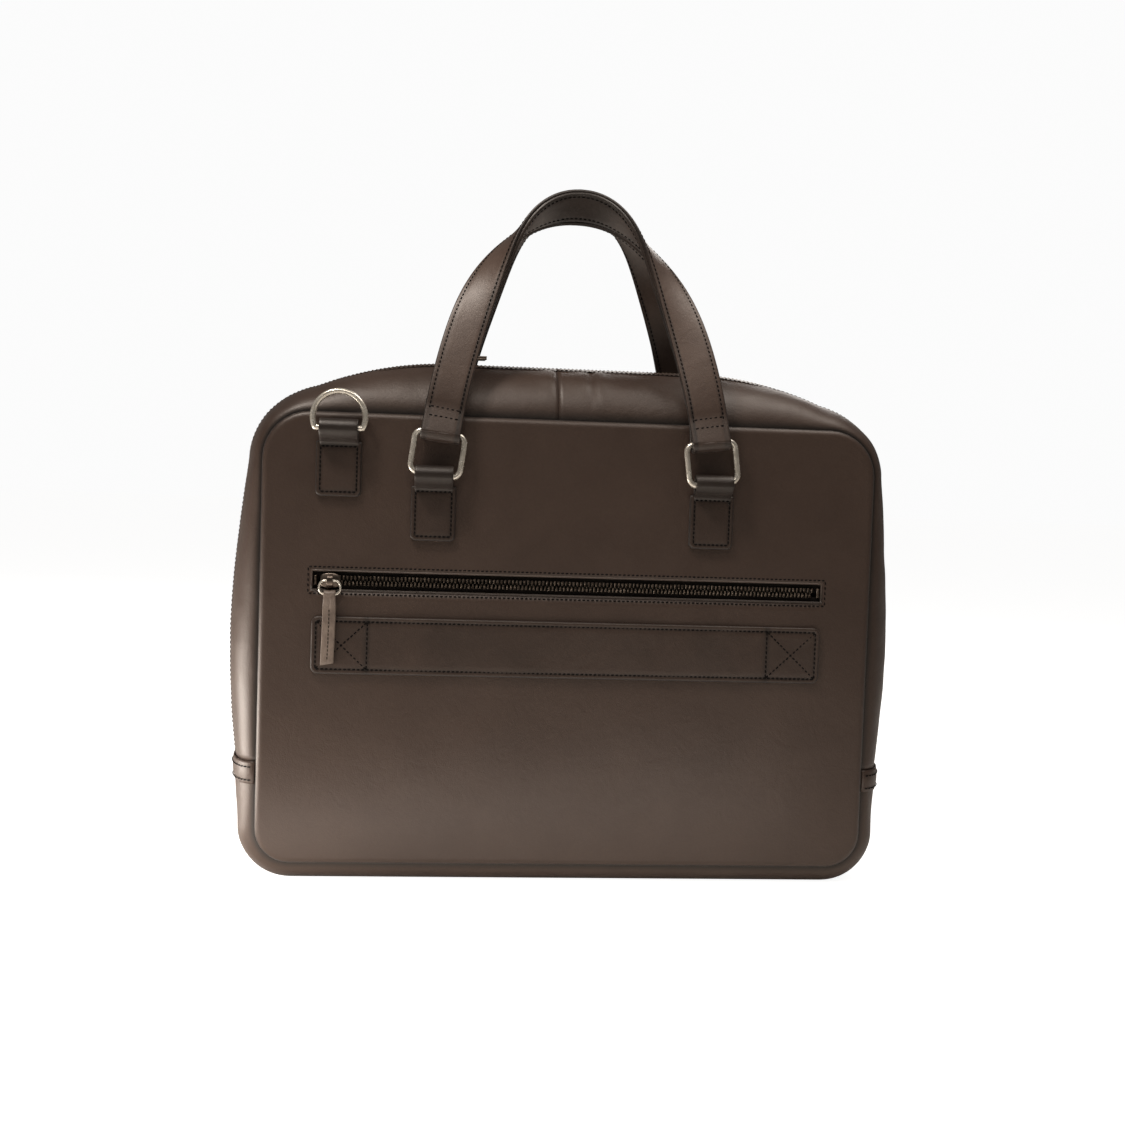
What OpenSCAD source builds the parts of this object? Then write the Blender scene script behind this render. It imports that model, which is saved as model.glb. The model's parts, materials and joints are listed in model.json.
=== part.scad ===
// Leather briefcase with a zipped top, two handles on metal rings, a zipped outside
// pocket and a strap that slips over a suitcase handle.
// Frame: +Z is up, +X is to the right of somebody facing the pocket side, and -Y is
// the pocket side. The origin is on the floor under the middle of the base.

/* [Body] */
// Width of the two panels between their side seams
panel_w = 390; // [384:1:396]
// Height of the two panels between their bottom and top seams
panel_h = 285; // [280:1:290]
// Height of the panels' bottom seam above the floor
seam_z = 12; // [11:0.5:13]
// Outside distance between the two panels
body_d = 84; // [83:0.5:86]
// Radius of the panels' top corners
top_corner_r = 30; // [26:1:34]
// Radius of the panels' bottom corners
low_corner_r = 22; // [20:1:24]
// Thickness of the leather
leather = 2; // [1.8:0.1:2]

/* [Gusset] */
// Height of the gusset crest above the top seam at mid width
crest_top = 35; // [32:1:37]
// How far the gusset stands out from the side seams at mid height
crest_side = 22; // [18:1:24]
// Half length of the straight stretch of the main zip on top
crest_flat = 80; // [76:1:84]
// Height at which the main zip ends on both sides
zip_end_z = 75; // [72:1:78]
// Half of the gap between the gusset strips that the main zip fills
zip_gap = 5.5; // [5.5:0.1:6]
// Place of the cross seam on top of the gusset, from the middle to the left
seam_left = 11; // [0:1:20]

/* [Handles and rings] */
// Distance of each handle chape from the middle of the panel
handle_x = 88; // [84:1:92]
// Height of the bores of the handle chapes
handle_loop_z = 259.4; // [255:0.1:263]
// Height of the crown of the handles
handle_top_z = 436; // [425:1:450]
// Width of the handle straps
strap_w = 24.6; // [24:0.1:24.8]
// Diameter of the wire of the rings
ring_wire = 3.6; // [3.2:0.1:3.6]
// Width of the handle rings between wire centres
ring_w = 31; // [30.8:0.1:32]
// Height of the handle rings between wire centres
ring_h = 26; // [25:0.5:28]
// Sideways lean of the handle rings towards the middle, in degrees
ring_tilt = 7.5; // [6:0.5:7.5]
// Distance of the shoulder-strap ring from the middle of the panel
d_ring_x = 147; // [145:1:149]
// Height of the bore of the shoulder-strap chape
d_loop_z = 286.1; // [283:0.1:288]

/* [Pocket] */
// Height of the pocket zip
pocket_zip_z = 191.6; // [188:0.1:194]
// Half length of the pocket window
pocket_half = 161.5; // [159:0.5:163]
// Position of the closed pocket slider
slider_x = -150.5; // [-151:0.5:-148]
// Length of the leather puller of the pocket
puller_l = 47; // [40:1:50]
// Height of the middle of the luggage strap
luggage_z = 151.2; // [149:0.1:153]
// Width of the luggage strap
luggage_w = 36; // [32:1:38]

/* [Hidden] */
$fn = 48;

leather_brown = [0.25, 0.20, 0.17];
puller_taupe = [0.45, 0.39, 0.35];
lining_grey = [0.32, 0.30, 0.29];
board_grey = [0.20, 0.19, 0.18];
bronze = [0.30, 0.25, 0.20];
nickel = [0.78, 0.76, 0.72];

// Planes of the body
half_w = panel_w / 2;
outer_y = body_d / 2;
inner_y = outer_y - leather;
top_z = seam_z + panel_h;
top_centre_z = top_z - top_corner_r;
low_centre_z = seam_z + low_corner_r;
seam_allowance = 6;
fall_span = 98;
split_gap = 0.6;
hinge_z = zip_end_z + split_gap;

// Lining, padding and boards
board_t = 2;
stiffener_t = 1.4;
fabric_t = 0.6;
stiffener_inset = 9;
lining_inset = 7;
divider_inset = -6;
divider_t = 5;
divider_y = -8;
divider_top_z = 232;

// Pocket
rim_w = 1.8;
rim_t = 0.6;
window_half_h = 5.5;
pocket_bag_half = 168;
pocket_bag_low_z = 62;
pocket_bag_high_z = 203;
pocket_bag_front_y = -38.4;
pocket_bag_d = 6;
tape_t = 0.5;
chain_gap = 0.7;
chain_half = 3;
chain_t = 2.4;
pocket_chain_y = -40.6;
tooth_pitch = 2.4;

// Main zip, measured outwards from the crest of the gusset
main_chain_low = -3.0;
main_chain_high = 0.6;
main_tape_low = -2.7;
main_tape_high = -2.1;

// Chapes, rings and straps
bore_r = 3.9;
fold_r = 5.6;
loop_w = 24;
ring_y = -(outer_y + 6.7);
ring_corner_r = 5;
patch_w = 28;
patch_h = 34;
patch_t = 3;
patch_corner_r = 3.5;
handle_patch_z = handle_loop_z - 41.4;
d_patch_z = d_loop_z - 42.1;
d_ring_r = 16;
d_ring_drop = 6.5;
ply = 2.2;
ply_offset = 1.2;
cavity_r = 3.3;
luggage_half = 161.7;
luggage_free = 127;
luggage_t = 2.2;
luggage_bow = 0.4;

// Pullers
pull_wire = 1.4;
pull_ring_w = 13;
pull_ring_l = 8.5;
pull_ring_corner = 3;
crown_bore_r = 1.3;
puller_w = 9;
puller_t = 2;
puller_fold_r = 2.6;
puller_bore_r = 1.15;
main_puller_l = 16;
main_slider_x = -81;
slider_l = 12;
slider_half_w = 4.5;
plate_t = 1.2;
crown_l = 6;
crown_h = 4.4;
crown_bore_h = 2.4;

// ---------- Outline of the body ----------

// Height of the crest above the top seam at a distance x from the middle
function top_bulge(x) = seam_z + (crest_top - seam_z)
    * (1 - pow(max(0, abs(x) - crest_flat) / fall_span, 2));

// How far the gusset stands out from the side seam at height z
function side_bulge(z) = seam_z + (crest_side - seam_z)
    * sin(180 * (z - low_centre_z) / (top_centre_z - low_centre_z));

// Bulge round a top corner, at angle a from the side to the top
function corner_bulge(a) = seam_z
    + (top_bulge(half_w - top_corner_r) - seam_z) * pow(a / 90, 3);

// A station is [x, z, outward x, outward z, bulge, roll], going round the outline
function left_side(z_from, z_to, count) = [for (k = [0:count - 1])
    let (z = z_from + (z_to - z_from) * k / count)
    [-half_w, z, -1, 0, side_bulge(z), side_roll(z)]];

function left_top_corner(count) = [for (k = [0:count - 1])
    let (a = 90 * k / count)
    [-half_w + top_corner_r - top_corner_r * cos(a), top_centre_z + top_corner_r * sin(a),
        -cos(a), sin(a), corner_bulge(a), 0]];

function left_top(count, x_end) = [for (k = [0:count])
    let (x = -(half_w - top_corner_r) + (half_w - top_corner_r + x_end) * k / count)
    [x, top_z, 0, 1, top_bulge(x), 0]];

// Stations of an upper strip, from the zip end up the left side and along the top to x_end
function upper_stations(z_start, x_end) = concat(left_side(z_start, top_centre_z, 7),
    left_top_corner(6), left_top(9, x_end));

// The bottom gusset rolls tightly at the base and widely at its upper ends
base_roll = 14;
side_end_roll = inner_y - 2;
function side_roll(z) = base_roll + (side_end_roll - base_roll)
    * max(0, min(1, (z - low_centre_z) / (zip_end_z - low_centre_z)));

base_fractions = [0, 0.12, 0.3, 0.55, 0.8];
function left_low_corner(count) = [for (k = [0:count - 1])
    let (a = 90 * k / count)
    [-half_w + low_corner_r - low_corner_r * cos(a), low_centre_z - low_corner_r * sin(a),
        -cos(a), -sin(a), seam_z, base_roll]];

base_half = half_w - low_corner_r;
function base_stations() = [for (f = base_fractions)
    [-base_half + 2 * base_half * f, seam_z, 0, -1, seam_z, base_roll]];

function mirrored(stations) = [for (k = [len(stations) - 1:-1:0])
    let (s = stations[k]) [-s[0], s[1], -s[2], s[3], s[4], s[5]]];

side_and_corner = concat(left_side(zip_end_z, low_centre_z, 4), left_low_corner(6));
base_end = [[base_half, seam_z, 0, -1, seam_z, base_roll]];
bottom_stations = concat(side_and_corner, base_stations(), base_end,
    mirrored(side_and_corner));

// ---------- Lofting ----------

function reversed(list) = [for (k = [len(list) - 1:-1:0]) list[k]];

// End cap of a ring of n points, as a ladder between its first and its second half
function ladder(first, n) = [for (j = [0:n / 2 - 2])
    [first + j, first + j + 1, first + n - 2 - j, first + n - 1 - j]];

// Joins a list of closed rings of points into one solid. Turning the diagonals of the side
// faces the other way lets two twisted solids lie face to face.
module loft(rings, turned = false) {
    n = len(rings[0]);
    last = (len(rings) - 1) * n;
    points = [for (ring = rings) for (p = ring) p];
    sides = [for (k = [0:len(rings) - 2]) for (j = [0:n - 1])
        let (a = k * n + j, b = k * n + (j + 1) % n)
        each turned ? [[a, a + n, b], [b, a + n, b + n]] : [[a, a + n, b + n], [a, b + n, b]]];
    last_cap = [for (quad = ladder(last, n)) reversed(quad)];
    polyhedron(points, concat(ladder(0, n), sides, last_cap));
}

// Unit direction from a to b in a flat profile
function direction(a, b) = (b - a) / norm(b - a);

// A profile of [y, n] points moved to the inside of the body
function inset(profile, d) = [for (k = [0:len(profile) - 1])
    let (t = direction(profile[max(0, k - 1)], profile[min(len(profile) - 1, k + 1)]))
    [profile[k][0] + d * t[1], profile[k][1] - d * t[0]]];

// A closed band between two depths under a profile
function band(profile, near, far) = concat(inset(profile, near),
    reversed(inset(profile, far)));

// Places a [y, n] ring at a station
function placed(ring, s) = [for (p = ring) [s[0] + s[2] * p[1], p[0], s[1] + s[3] * p[1]]];

// Section of an upper gusset strip, from the seam allowance to the zip
strip_sweep = 72;
function strip_profile(h) = concat([[-inner_y, -seam_allowance]],
    [for (t = [0:12:strip_sweep])
        [-inner_y + (inner_y - zip_gap) * (1 - cos(t)) / (1 - cos(strip_sweep)),
            h * sin(t) / sin(strip_sweep)]]);

// Section of the bottom gusset, from seam to seam
function roll_profile(h, roll) = [for (t = [0:18:90])
    [-inner_y + roll * (1 - cos(t)), h * sin(t)]];
function bottom_profile(h, roll) = let (half = concat([[-inner_y, -seam_allowance]],
        roll_profile(h, roll)))
    concat(half, [for (k = [len(half) - 1:-1:0]) [-half[k][0], half[k][1]]]);

module upper_strip(z_start, x_end, near, far) {
    loft([for (s = upper_stations(z_start, x_end)) placed(band(strip_profile(s[4]), near, far),
        s)]);
}

// Cloth strip behind an upper strip, which stops short of the zip slider
lining_reach = 0.6;
function lining_profile(h) = let (p = strip_profile(h), last = len(p) - 1)
    [for (k = [0:last]) k < last ? p[k] : p[k - 1] + (p[k] - p[k - 1]) * lining_reach];
module lining_strip(z_start) {
    near = leather + 1.2;
    for (side = [0, 1]) mirror([side, 0, 0])
        loft([for (s = upper_stations(z_start, 0))
            placed(band(lining_profile(s[4]), near, near + fabric_t), s)]);
}

// Zip tape that lies behind the edge of an upper strip and ends at the teeth
tape_start = 0.2;
function tape_ring(h) = let (p = inset(strip_profile(h), leather + 0.15), last = len(p) - 1,
        a = p[last - 1] + (p[last] - p[last - 1]) * tape_start, b = p[last],
        c = [-chain_half, h + main_tape_high], down = [0, main_tape_low - main_tape_high])
    [a, b, c, c + down, b + down, a + down];

module bottom_band(stations, near, far) {
    loft([for (s = reversed(stations)) placed(band(bottom_profile(s[4], s[5]), near, far), s)]);
}

// Stations of the whole crest, from one zip end over the top to the other
function crest_stations(z_start) = let (half = upper_stations(z_start, 0))
    concat(half, [for (k = [len(half) - 2:-1:0]) let (s = half[k])
        [-s[0], s[1], -s[2], s[3], s[4], 0]]);

// ---------- Flat outlines ----------

// Outline of a panel in X and Z, drawn in by a margin
module panel_outline(margin) {
    top_r = top_corner_r - margin;
    low_r = low_corner_r - margin;
    for (side = [-1, 1]) {
        translate([side * (half_w - top_corner_r), top_centre_z]) circle(top_r);
        translate([side * (half_w - low_corner_r), low_centre_z]) circle(low_r);
    }
    translate([-(half_w - top_corner_r), seam_z + low_corner_r])
        square([panel_w - 2 * top_corner_r, panel_h - low_corner_r - margin]);
    translate([-(half_w - margin), low_centre_z])
        square([panel_w - 2 * margin, top_centre_z - low_centre_z]);
    translate([-base_half, seam_z + margin])
        square([2 * base_half, panel_h / 2]);
}

// Stands a flat X and Z outline up between two y planes
module slab(y_near, y_far) {
    translate([0, y_far, 0]) rotate([90, 0, 0]) linear_extrude(y_far - y_near) children();
}

module above(z) {
    translate([-panel_w, z]) square([2 * panel_w, 2 * panel_h]);
}

module below(z) {
    translate([-panel_w, z - 2 * panel_h]) square([2 * panel_w, 2 * panel_h]);
}

module pocket_window(grow) {
    translate([-(pocket_half + grow), pocket_zip_z - window_half_h - grow])
        square([2 * (pocket_half + grow), 2 * (window_half_h + grow)]);
}

// ---------- Rear half ----------

module rear_panel() {
    color(leather_brown) slab(-outer_y, -inner_y) difference() {
        panel_outline(0);
        pocket_window(0);
    }
}

module rear_stiffener() {
    color(board_grey) slab(-inner_y, -inner_y + stiffener_t) difference() {
        panel_outline(stiffener_inset);
        pocket_window(3);
    }
}

module pocket_window_rim() {
    color(leather_brown) slab(-outer_y - rim_t, -outer_y) difference() {
        pocket_window(rim_w);
        pocket_window(0);
    }
}

module pocket_tape(side) {
    tape_w = window_half_h + 2 - chain_half;
    low = side > 0 ? chain_half : -chain_half - tape_w;
    color("black") translate([-pocket_half, -inner_y + 0.1, pocket_zip_z + low])
        cube([2 * pocket_half, tape_t, tape_w]);
}

// A row of teeth on a narrow bead, extruded through the thickness of the chain
module pocket_teeth(side) {
    clear_ends = 9;
    count = floor((2 * pocket_half - clear_ends) / tooth_pitch);
    start = -count * tooth_pitch / 2 + (side > 0 ? 0 : tooth_pitch / 2);
    bead = 1.2;
    steps = [for (k = [0:count - 1]) let (x = start + k * tooth_pitch)
        each [[x, chain_half - bead], [x, chain_gap], [x + tooth_pitch / 2, chain_gap],
            [x + tooth_pitch / 2, chain_half - bead]]];
    outline = concat(steps, [[start + count * tooth_pitch, chain_half - bead],
        [start + count * tooth_pitch, chain_half], [start, chain_half]]);
    color(bronze) translate([0, pocket_chain_y + chain_t / 2, pocket_zip_z])
        rotate([90, 0, 0]) linear_extrude(chain_t) mirror([0, side > 0 ? 0 : 1]) polygon(outline);
}

module pocket_zip_stops() {
    stop_l = 1.6;
    color(bronze) for (end = [-1, 1])
        translate([end * (pocket_half - stop_l) - stop_l / 2, pocket_chain_y - chain_t / 2,
            pocket_zip_z - chain_half])
            cube([stop_l, chain_t, 2 * chain_half]);
}

// A flat bag that hangs behind the pocket window and is open only there
module pocket_bag() {
    wall = 0.5;
    w = 2 * pocket_bag_half;
    h = pocket_bag_high_z - pocket_bag_low_z;
    color(lining_grey) difference() {
        translate([-pocket_bag_half, pocket_bag_front_y, pocket_bag_low_z])
            cube([w, pocket_bag_d, h]);
        translate([-pocket_bag_half + wall, pocket_bag_front_y + wall, pocket_bag_low_z + wall])
            cube([w - 2 * wall, pocket_bag_d - 2 * wall, h - 2 * wall]);
        slab(pocket_bag_front_y - wall, pocket_bag_front_y + 2 * wall) pocket_window(2);
    }
}

// Bowed out in the middle, so a suitcase handle passes behind it
function luggage_gap(x) = abs(x) >= luggage_free ? 0
    : luggage_bow * pow(1 - pow(x / luggage_free, 2), 2);
luggage_free_x = [for (k = [0:18]) -luggage_free + k * luggage_free / 9];
luggage_x = concat([-luggage_half], luggage_free_x, [luggage_half]);

module luggage_strap() {
    low = luggage_z - luggage_w / 2;
    high = luggage_z + luggage_w / 2;
    color(leather_brown) loft([for (x = luggage_x) let (y = -outer_y - luggage_gap(x))
        [[x, y, low], [x, y, high], [x, y - luggage_t, high], [x, y - luggage_t, low]]]);
}

// A stitched patch with a loop at its top that a ring bar turns in
module chape(x, patch_z, loop_z) {
    corner = patch_corner_r;
    neck = fold_r - 0.4;
    color(leather_brown) translate([x, 0, 0]) {
        slab(-outer_y - patch_t, -outer_y) {
            for (side = [-1, 1])
                translate([side * (patch_w / 2 - corner), patch_z + corner]) circle(corner);
            translate([-patch_w / 2 + corner, patch_z])
                square([patch_w - 2 * corner, patch_h]);
            translate([-patch_w / 2, patch_z + corner])
                square([patch_w, patch_h - corner]);
        }
        translate([-loop_w / 2, 0, 0]) rotate([90, 0, 90]) linear_extrude(loop_w)
            difference() {
                union() {
                    translate([ring_y, loop_z]) circle(fold_r);
                    polygon([[-outer_y, loop_z - 9], [-outer_y - patch_t, loop_z - 9],
                        [ring_y - neck, loop_z - 2], [ring_y + neck, loop_z - 2]]);
                }
                translate([ring_y, loop_z]) circle(bore_r);
            }
    }
}

// One rear strip of the gusset. The two meet at a seam a little left of the middle.
module rear_gusset(x_end) {
    color(leather_brown) upper_strip(zip_end_z + split_gap, x_end, 0, leather);
}

// The band under the base and up the lower sides, in one piece
module bottom_gusset() {
    color(leather_brown) bottom_band(bottom_stations, 0, leather);
}

// A folded tab over the end of the zip, wrapped round the gusset
module zip_end_tab_left() {
    tab_h = 13;
    tab_t = 1.6;
    stations = [for (k = [0:3]) let (z = zip_end_z - k * tab_h / 3)
        [-half_w, z, -1, 0, side_bulge(z), side_roll(z)]];
    color(leather_brown) intersection() {
        bottom_band(stations, -tab_t, -0.1);
        translate([-panel_w, -inner_y, zip_end_z - 2 * tab_h])
            cube([half_w, 2 * inner_y, 3 * tab_h]);
    }
}

module base_board() {
    board_w = 2 * base_half - 10;
    board_d = 50;
    color(board_grey) translate([-board_w / 2, -board_d / 2, leather])
        cube([board_w, board_d, board_t]);
}

module bottom_lining() {
    depth = leather + board_t + 0.4;
    color(lining_grey) bottom_band(bottom_stations, depth, depth + fabric_t);
}

module rear_lining() {
    y = pocket_bag_front_y + pocket_bag_d + 0.4;
    color(lining_grey) slab(y, y + fabric_t) panel_outline(lining_inset);
}

module rear_gusset_lining() {
    color(lining_grey) lining_strip(zip_end_z + split_gap);
}

// Padded divider that makes the laptop sleeve, open at the top
module laptop_divider() {
    color(lining_grey) slab(divider_y, divider_y + divider_t) intersection() {
        panel_outline(divider_inset);
        below(divider_top_z);
    }
}

module main_zip_rear_tape() {
    color("black") loft([for (s = crest_stations(zip_end_z + split_gap + 0.4))
        placed(tape_ring(s[4]), s)]);
}

// The row of teeth, as one bead that follows the crest
module main_zip_rear_teeth() {
    color(bronze) loft([for (s = crest_stations(zip_end_z + split_gap + 2))
        placed([for (p = [[-chain_half, main_chain_low], [-chain_half, main_chain_high],
            [-chain_gap, main_chain_high], [-chain_gap, main_chain_low]])
            [p[0], s[4] + p[1]]], s)]);
}

// ---------- Front half ----------

module front_panel_lower() {
    color(leather_brown) slab(inner_y, outer_y) intersection() {
        panel_outline(0);
        below(hinge_z - split_gap);
    }
}

module front_panel_upper() {
    color(leather_brown) slab(inner_y, outer_y) intersection() {
        panel_outline(0);
        above(hinge_z + split_gap);
    }
}

module front_stiffener() {
    color(board_grey) slab(inner_y - stiffener_t, inner_y) intersection() {
        panel_outline(stiffener_inset);
        above(hinge_z + split_gap);
    }
}

module front_lining() {
    y = inner_y - stiffener_t - 0.4;
    color(lining_grey) slab(y - fabric_t, y) intersection() {
        panel_outline(lining_inset);
        above(hinge_z + split_gap);
    }
}

module front_gusset(x_end) {
    color(leather_brown) mirror([0, 1, 0]) upper_strip(hinge_z + split_gap, x_end, 0, leather);
}

module front_gusset_lining() {
    color(lining_grey) mirror([0, 1, 0]) lining_strip(hinge_z + split_gap);
}

module main_zip_front_tape() {
    mirror([0, 1, 0]) main_zip_rear_tape();
}

module main_zip_front_teeth() {
    mirror([0, 1, 0]) main_zip_rear_teeth();
}

// ---------- Rings ----------

// Quarter bend from +X to +Z
module bend(r, wire) {
    rotate([90, 0, 0]) rotate_extrude(angle = 90) translate([r, 0]) circle(wire / 2);
}

// Rounded rectangle of wire that rises from its lower bar, which is on the X axis
module wire_frame(w, h, corner, wire) {
    straight_w = w - 2 * corner;
    straight_h = h - 2 * corner;
    for (side = [0, 1]) mirror([side, 0, 0]) {
        translate([w / 2, 0, corner]) cylinder(d = wire, h = straight_h);
        translate([w / 2 - corner, 0, h - corner]) bend(corner, wire);
        translate([w / 2 - corner, 0, corner]) mirror([0, 0, 1]) bend(corner, wire);
    }
    for (z = [0, h])
        translate([-straight_w / 2, 0, z]) rotate([0, 90, 0]) cylinder(d = wire, h = straight_w);
}

module handle_ring_left() {
    color(nickel) translate([-handle_x, ring_y, handle_loop_z]) rotate([0, ring_tilt, 0])
        wire_frame(ring_w, ring_h, ring_corner_r, ring_wire);
}

// Straight bar in the chape, closed by a round bow
module d_ring(x) {
    start = -asin(d_ring_drop / d_ring_r);
    bar_half = d_ring_r * cos(start);
    color(nickel) translate([x, ring_y, d_loop_z]) {
        translate([0, 0, d_ring_drop]) rotate([90, 0, 0]) rotate([0, 0, start])
            rotate_extrude(angle = 180 - 2 * start) translate([d_ring_r, 0])
                circle(ring_wire / 2);
        translate([-bar_half, 0, 0]) rotate([0, 90, 0]) cylinder(d = ring_wire, h = 2 * bar_half);
        for (side = [-1, 1])
            translate([side * bar_half, 0, 0]) sphere(ring_wire / 2);
    }
}

// ---------- Handles ----------

// Half of the handle's middle line, as a curve in X and Z from the ring bar to the crown
bar_x = -handle_x + ring_h * sin(ring_tilt);
bar_z = handle_loop_z + ring_h * cos(ring_tilt);
leg_l = 62;
shoulder_x = -52;
handle_lean = 0.22;
curve = [[bar_x, bar_z], [bar_x + leg_l * sin(ring_tilt), bar_z + leg_l * cos(ring_tilt)],
    [shoulder_x, handle_top_z], [0, handle_top_z]];
function curve_point(s) = pow(1 - s, 3) * curve[0] + 3 * pow(1 - s, 2) * s * curve[1]
    + 3 * (1 - s) * s * s * curve[2] + pow(s, 3) * curve[3];
function curve_slope(s) = 3 * pow(1 - s, 2) * (curve[1] - curve[0])
    + 6 * (1 - s) * s * (curve[2] - curve[1]) + 3 * s * s * (curve[3] - curve[2]);

// The strap faces out at the rings and rolls back to face up at the crown
crown_roll = 122;
roll_start = 0.22;
function smooth(u) = let (c = max(0, min(1, u))) c * c * (3 - 2 * c);
function strap_roll(s) = crown_roll * smooth((s - roll_start) / (1 - roll_start));
function unit(v) = v / norm(v);
function strap_point(s) = let (p = curve_point(s))
    [p[0], ring_y + handle_lean * (p[1] - bar_z), p[1]];
function strap_tangent(s) = let (d = curve_slope(s)) unit([d[0], handle_lean * d[1], d[1]]);
function strap_out(s) = let (t = strap_tangent(s)) unit([-t[2], 0, t[0]]);
function strap_normal(s) = let (t = strap_tangent(s), o = strap_out(s), b = cross(t, o))
    cos(strap_roll(s)) * b + sin(strap_roll(s)) * o;

// Section of one ply: centre, normal and width direction
function ply_ring(p, n, w) = [p + w * strap_w / 2 + n * ply / 2, p - w * strap_w / 2 + n * ply / 2,
    p - w * strap_w / 2 - n * ply / 2, p + w * strap_w / 2 - n * ply / 2];

function ply_section(s, offset) = let (n = strap_normal(s), w = cross(strap_tangent(s), n))
    ply_ring(strap_point(s) + n * offset, n, w);

// The ply folds round the ring bar: points [out, along] from the bar, with their normals
fold_centre_r = cavity_r + ply / 2;
fold_angles = [for (a = [-205:25.5:26]) a];
pinch = 12;
flap_end = 20;
function fold_section(out, along, n_out, n_along) = let (t = strap_tangent(0),
        n = strap_normal(0), w = cross(t, n), nn = n * n_out + t * n_along)
    ply_ring(strap_point(0) + n * out + t * along, nn, w);
fold_sections = concat([fold_section(-ply_offset, flap_end, -1, 0),
        fold_section(-ply_offset, pinch, -1, 0)],
    [for (a = fold_angles) fold_section(fold_centre_r * cos(a), fold_centre_r * sin(a),
        cos(a), sin(a))]);

run_start = 0.075;
backing_start = 0.13;
run_steps = 18;
function run_sections(offset) = [for (k = [0:run_steps])
    ply_section(backing_start + (1 - backing_start) * k / run_steps, offset)];

function mirrored_sections(list) = [for (k = [len(list) - 2:-1:0])
    [for (p = list[k]) [-p[0], p[1], p[2]]]];

module handle_strap() {
    half = concat(fold_sections, [ply_section(run_start, ply_offset)],
        run_sections(ply_offset));
    color(leather_brown) loft(concat(half, mirrored_sections(half)));
}

module handle_backing() {
    half = run_sections(-ply_offset);
    color(leather_brown) loft(concat(half, mirrored_sections(half)), turned = true);
}

// ---------- Sliders and pullers ----------

// Two plates joined by a post between the rows of teeth, with a bored crown on top.
// Built lying flat: the zip runs along X and the crown points to +Z.
module slider_body(gap_low, gap_high) {
    post = 0.8;
    for (z = [gap_low - plate_t, gap_high])
        translate([-slider_l / 2, -slider_half_w, z])
            cube([slider_l, 2 * slider_half_w, plate_t]);
    translate([-slider_l / 4, -post / 2, gap_low - plate_t / 2])
        cube([slider_l / 2, post, gap_high - gap_low + plate_t]);
    difference() {
        translate([-crown_l / 2, -crown_l / 2, gap_high + plate_t / 2])
            cube([crown_l, crown_l, plate_t / 2 + crown_h]);
        children();
    }
}

// A folded leather tab that hangs from a bore on the X axis along -Z
module puller(length) {
    color(puller_taupe) translate([-puller_w / 2, 0, 0]) rotate([90, 0, 90])
        linear_extrude(puller_w) difference() {
            union() {
                circle(puller_fold_r);
                polygon([[-puller_t / 2, -length], [puller_t / 2, -length],
                    [puller_t / 2, -7], [puller_fold_r - 0.3, -1], [0.3 - puller_fold_r, -1],
                    [-puller_t / 2, -7]]);
            }
            circle(puller_bore_r);
        }
}

// Pocket zip: the crown points to -Y
pocket_gap_back = 1.6;
pocket_gap_front = 1.6;
pocket_crown_y = pocket_chain_y - pocket_gap_front - plate_t - crown_bore_h;

module pocket_slider() {
    color(bronze) translate([slider_x, pocket_chain_y, pocket_zip_z]) rotate([90, 0, 0])
        slider_body(-pocket_gap_back, pocket_gap_front)
            translate([-slider_l, 0, pocket_gap_front + plate_t + crown_bore_h]) rotate([0, 90, 0])
                cylinder(r = crown_bore_r, h = 2 * slider_l);
}

module pocket_pull_ring() {
    color(nickel) translate([slider_x, pocket_crown_y, pocket_zip_z - pull_ring_l])
        wire_frame(pull_ring_w, pull_ring_l, pull_ring_corner, pull_wire);
}

module pocket_pull_leather() {
    translate([slider_x, pocket_crown_y, pocket_zip_z - pull_ring_l])
        puller(puller_l - puller_fold_r);
}

// Main zip: the crown points up and the puller lies along the chain
main_crest_z = top_z + crest_top;
main_gap_low = main_chain_low - 0.4;
main_gap_high = main_chain_high + 0.9;
main_crown_z = main_crest_z + main_gap_high + plate_t + crown_bore_h;

module main_slider() {
    color(bronze) translate([main_slider_x, 0, main_crest_z])
        slider_body(main_gap_low, main_gap_high)
            translate([0, slider_l, main_gap_high + plate_t + crown_bore_h]) rotate([90, 0, 0])
                cylinder(r = crown_bore_r, h = 2 * slider_l);
}

// Turns a part built on the X axis and hanging down so that it lies along +X
module lying(x) {
    translate([x, 0, main_crown_z]) rotate([0, -90, 0]) rotate([0, 0, 90]) children();
}

module main_pull_ring() {
    color(nickel) lying(main_slider_x + pull_ring_l)
        wire_frame(pull_ring_w, pull_ring_l, pull_ring_corner, pull_wire);
}

module main_pull_leather() {
    lying(main_slider_x + pull_ring_l) puller(main_puller_l);
}

// ---------- Assembly ----------

rear_panel();
rear_stiffener();
pocket_window_rim();
pocket_tape(1);  // pocket_zip_upper_tape
pocket_tape(-1);  // pocket_zip_lower_tape
pocket_teeth(1);  // pocket_zip_upper_teeth
pocket_teeth(-1);  // pocket_zip_lower_teeth
pocket_zip_stops();
pocket_bag();
luggage_strap();
chape(-handle_x, handle_patch_z, handle_loop_z);  // rear_handle_chape_left
chape(handle_x, handle_patch_z, handle_loop_z);  // rear_handle_chape_right
chape(-d_ring_x, d_patch_z, d_loop_z);  // rear_d_ring_chape
rear_gusset(-seam_left);  // rear_gusset_left
mirror([1, 0, 0]) rear_gusset(seam_left);  // rear_gusset_right
bottom_gusset();
zip_end_tab_left();
mirror([1, 0, 0]) zip_end_tab_left();  // zip_end_tab_right
base_board();
bottom_lining();
rear_lining();
rear_gusset_lining();
laptop_divider();
main_zip_rear_tape();
main_zip_rear_teeth();
front_panel_lower();
front_panel_upper();
front_stiffener();
front_lining();
front_gusset(-seam_left);  // front_gusset_left
mirror([1, 0, 0]) front_gusset(seam_left);  // front_gusset_right
front_gusset_lining();
main_zip_front_tape();
main_zip_front_teeth();
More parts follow.
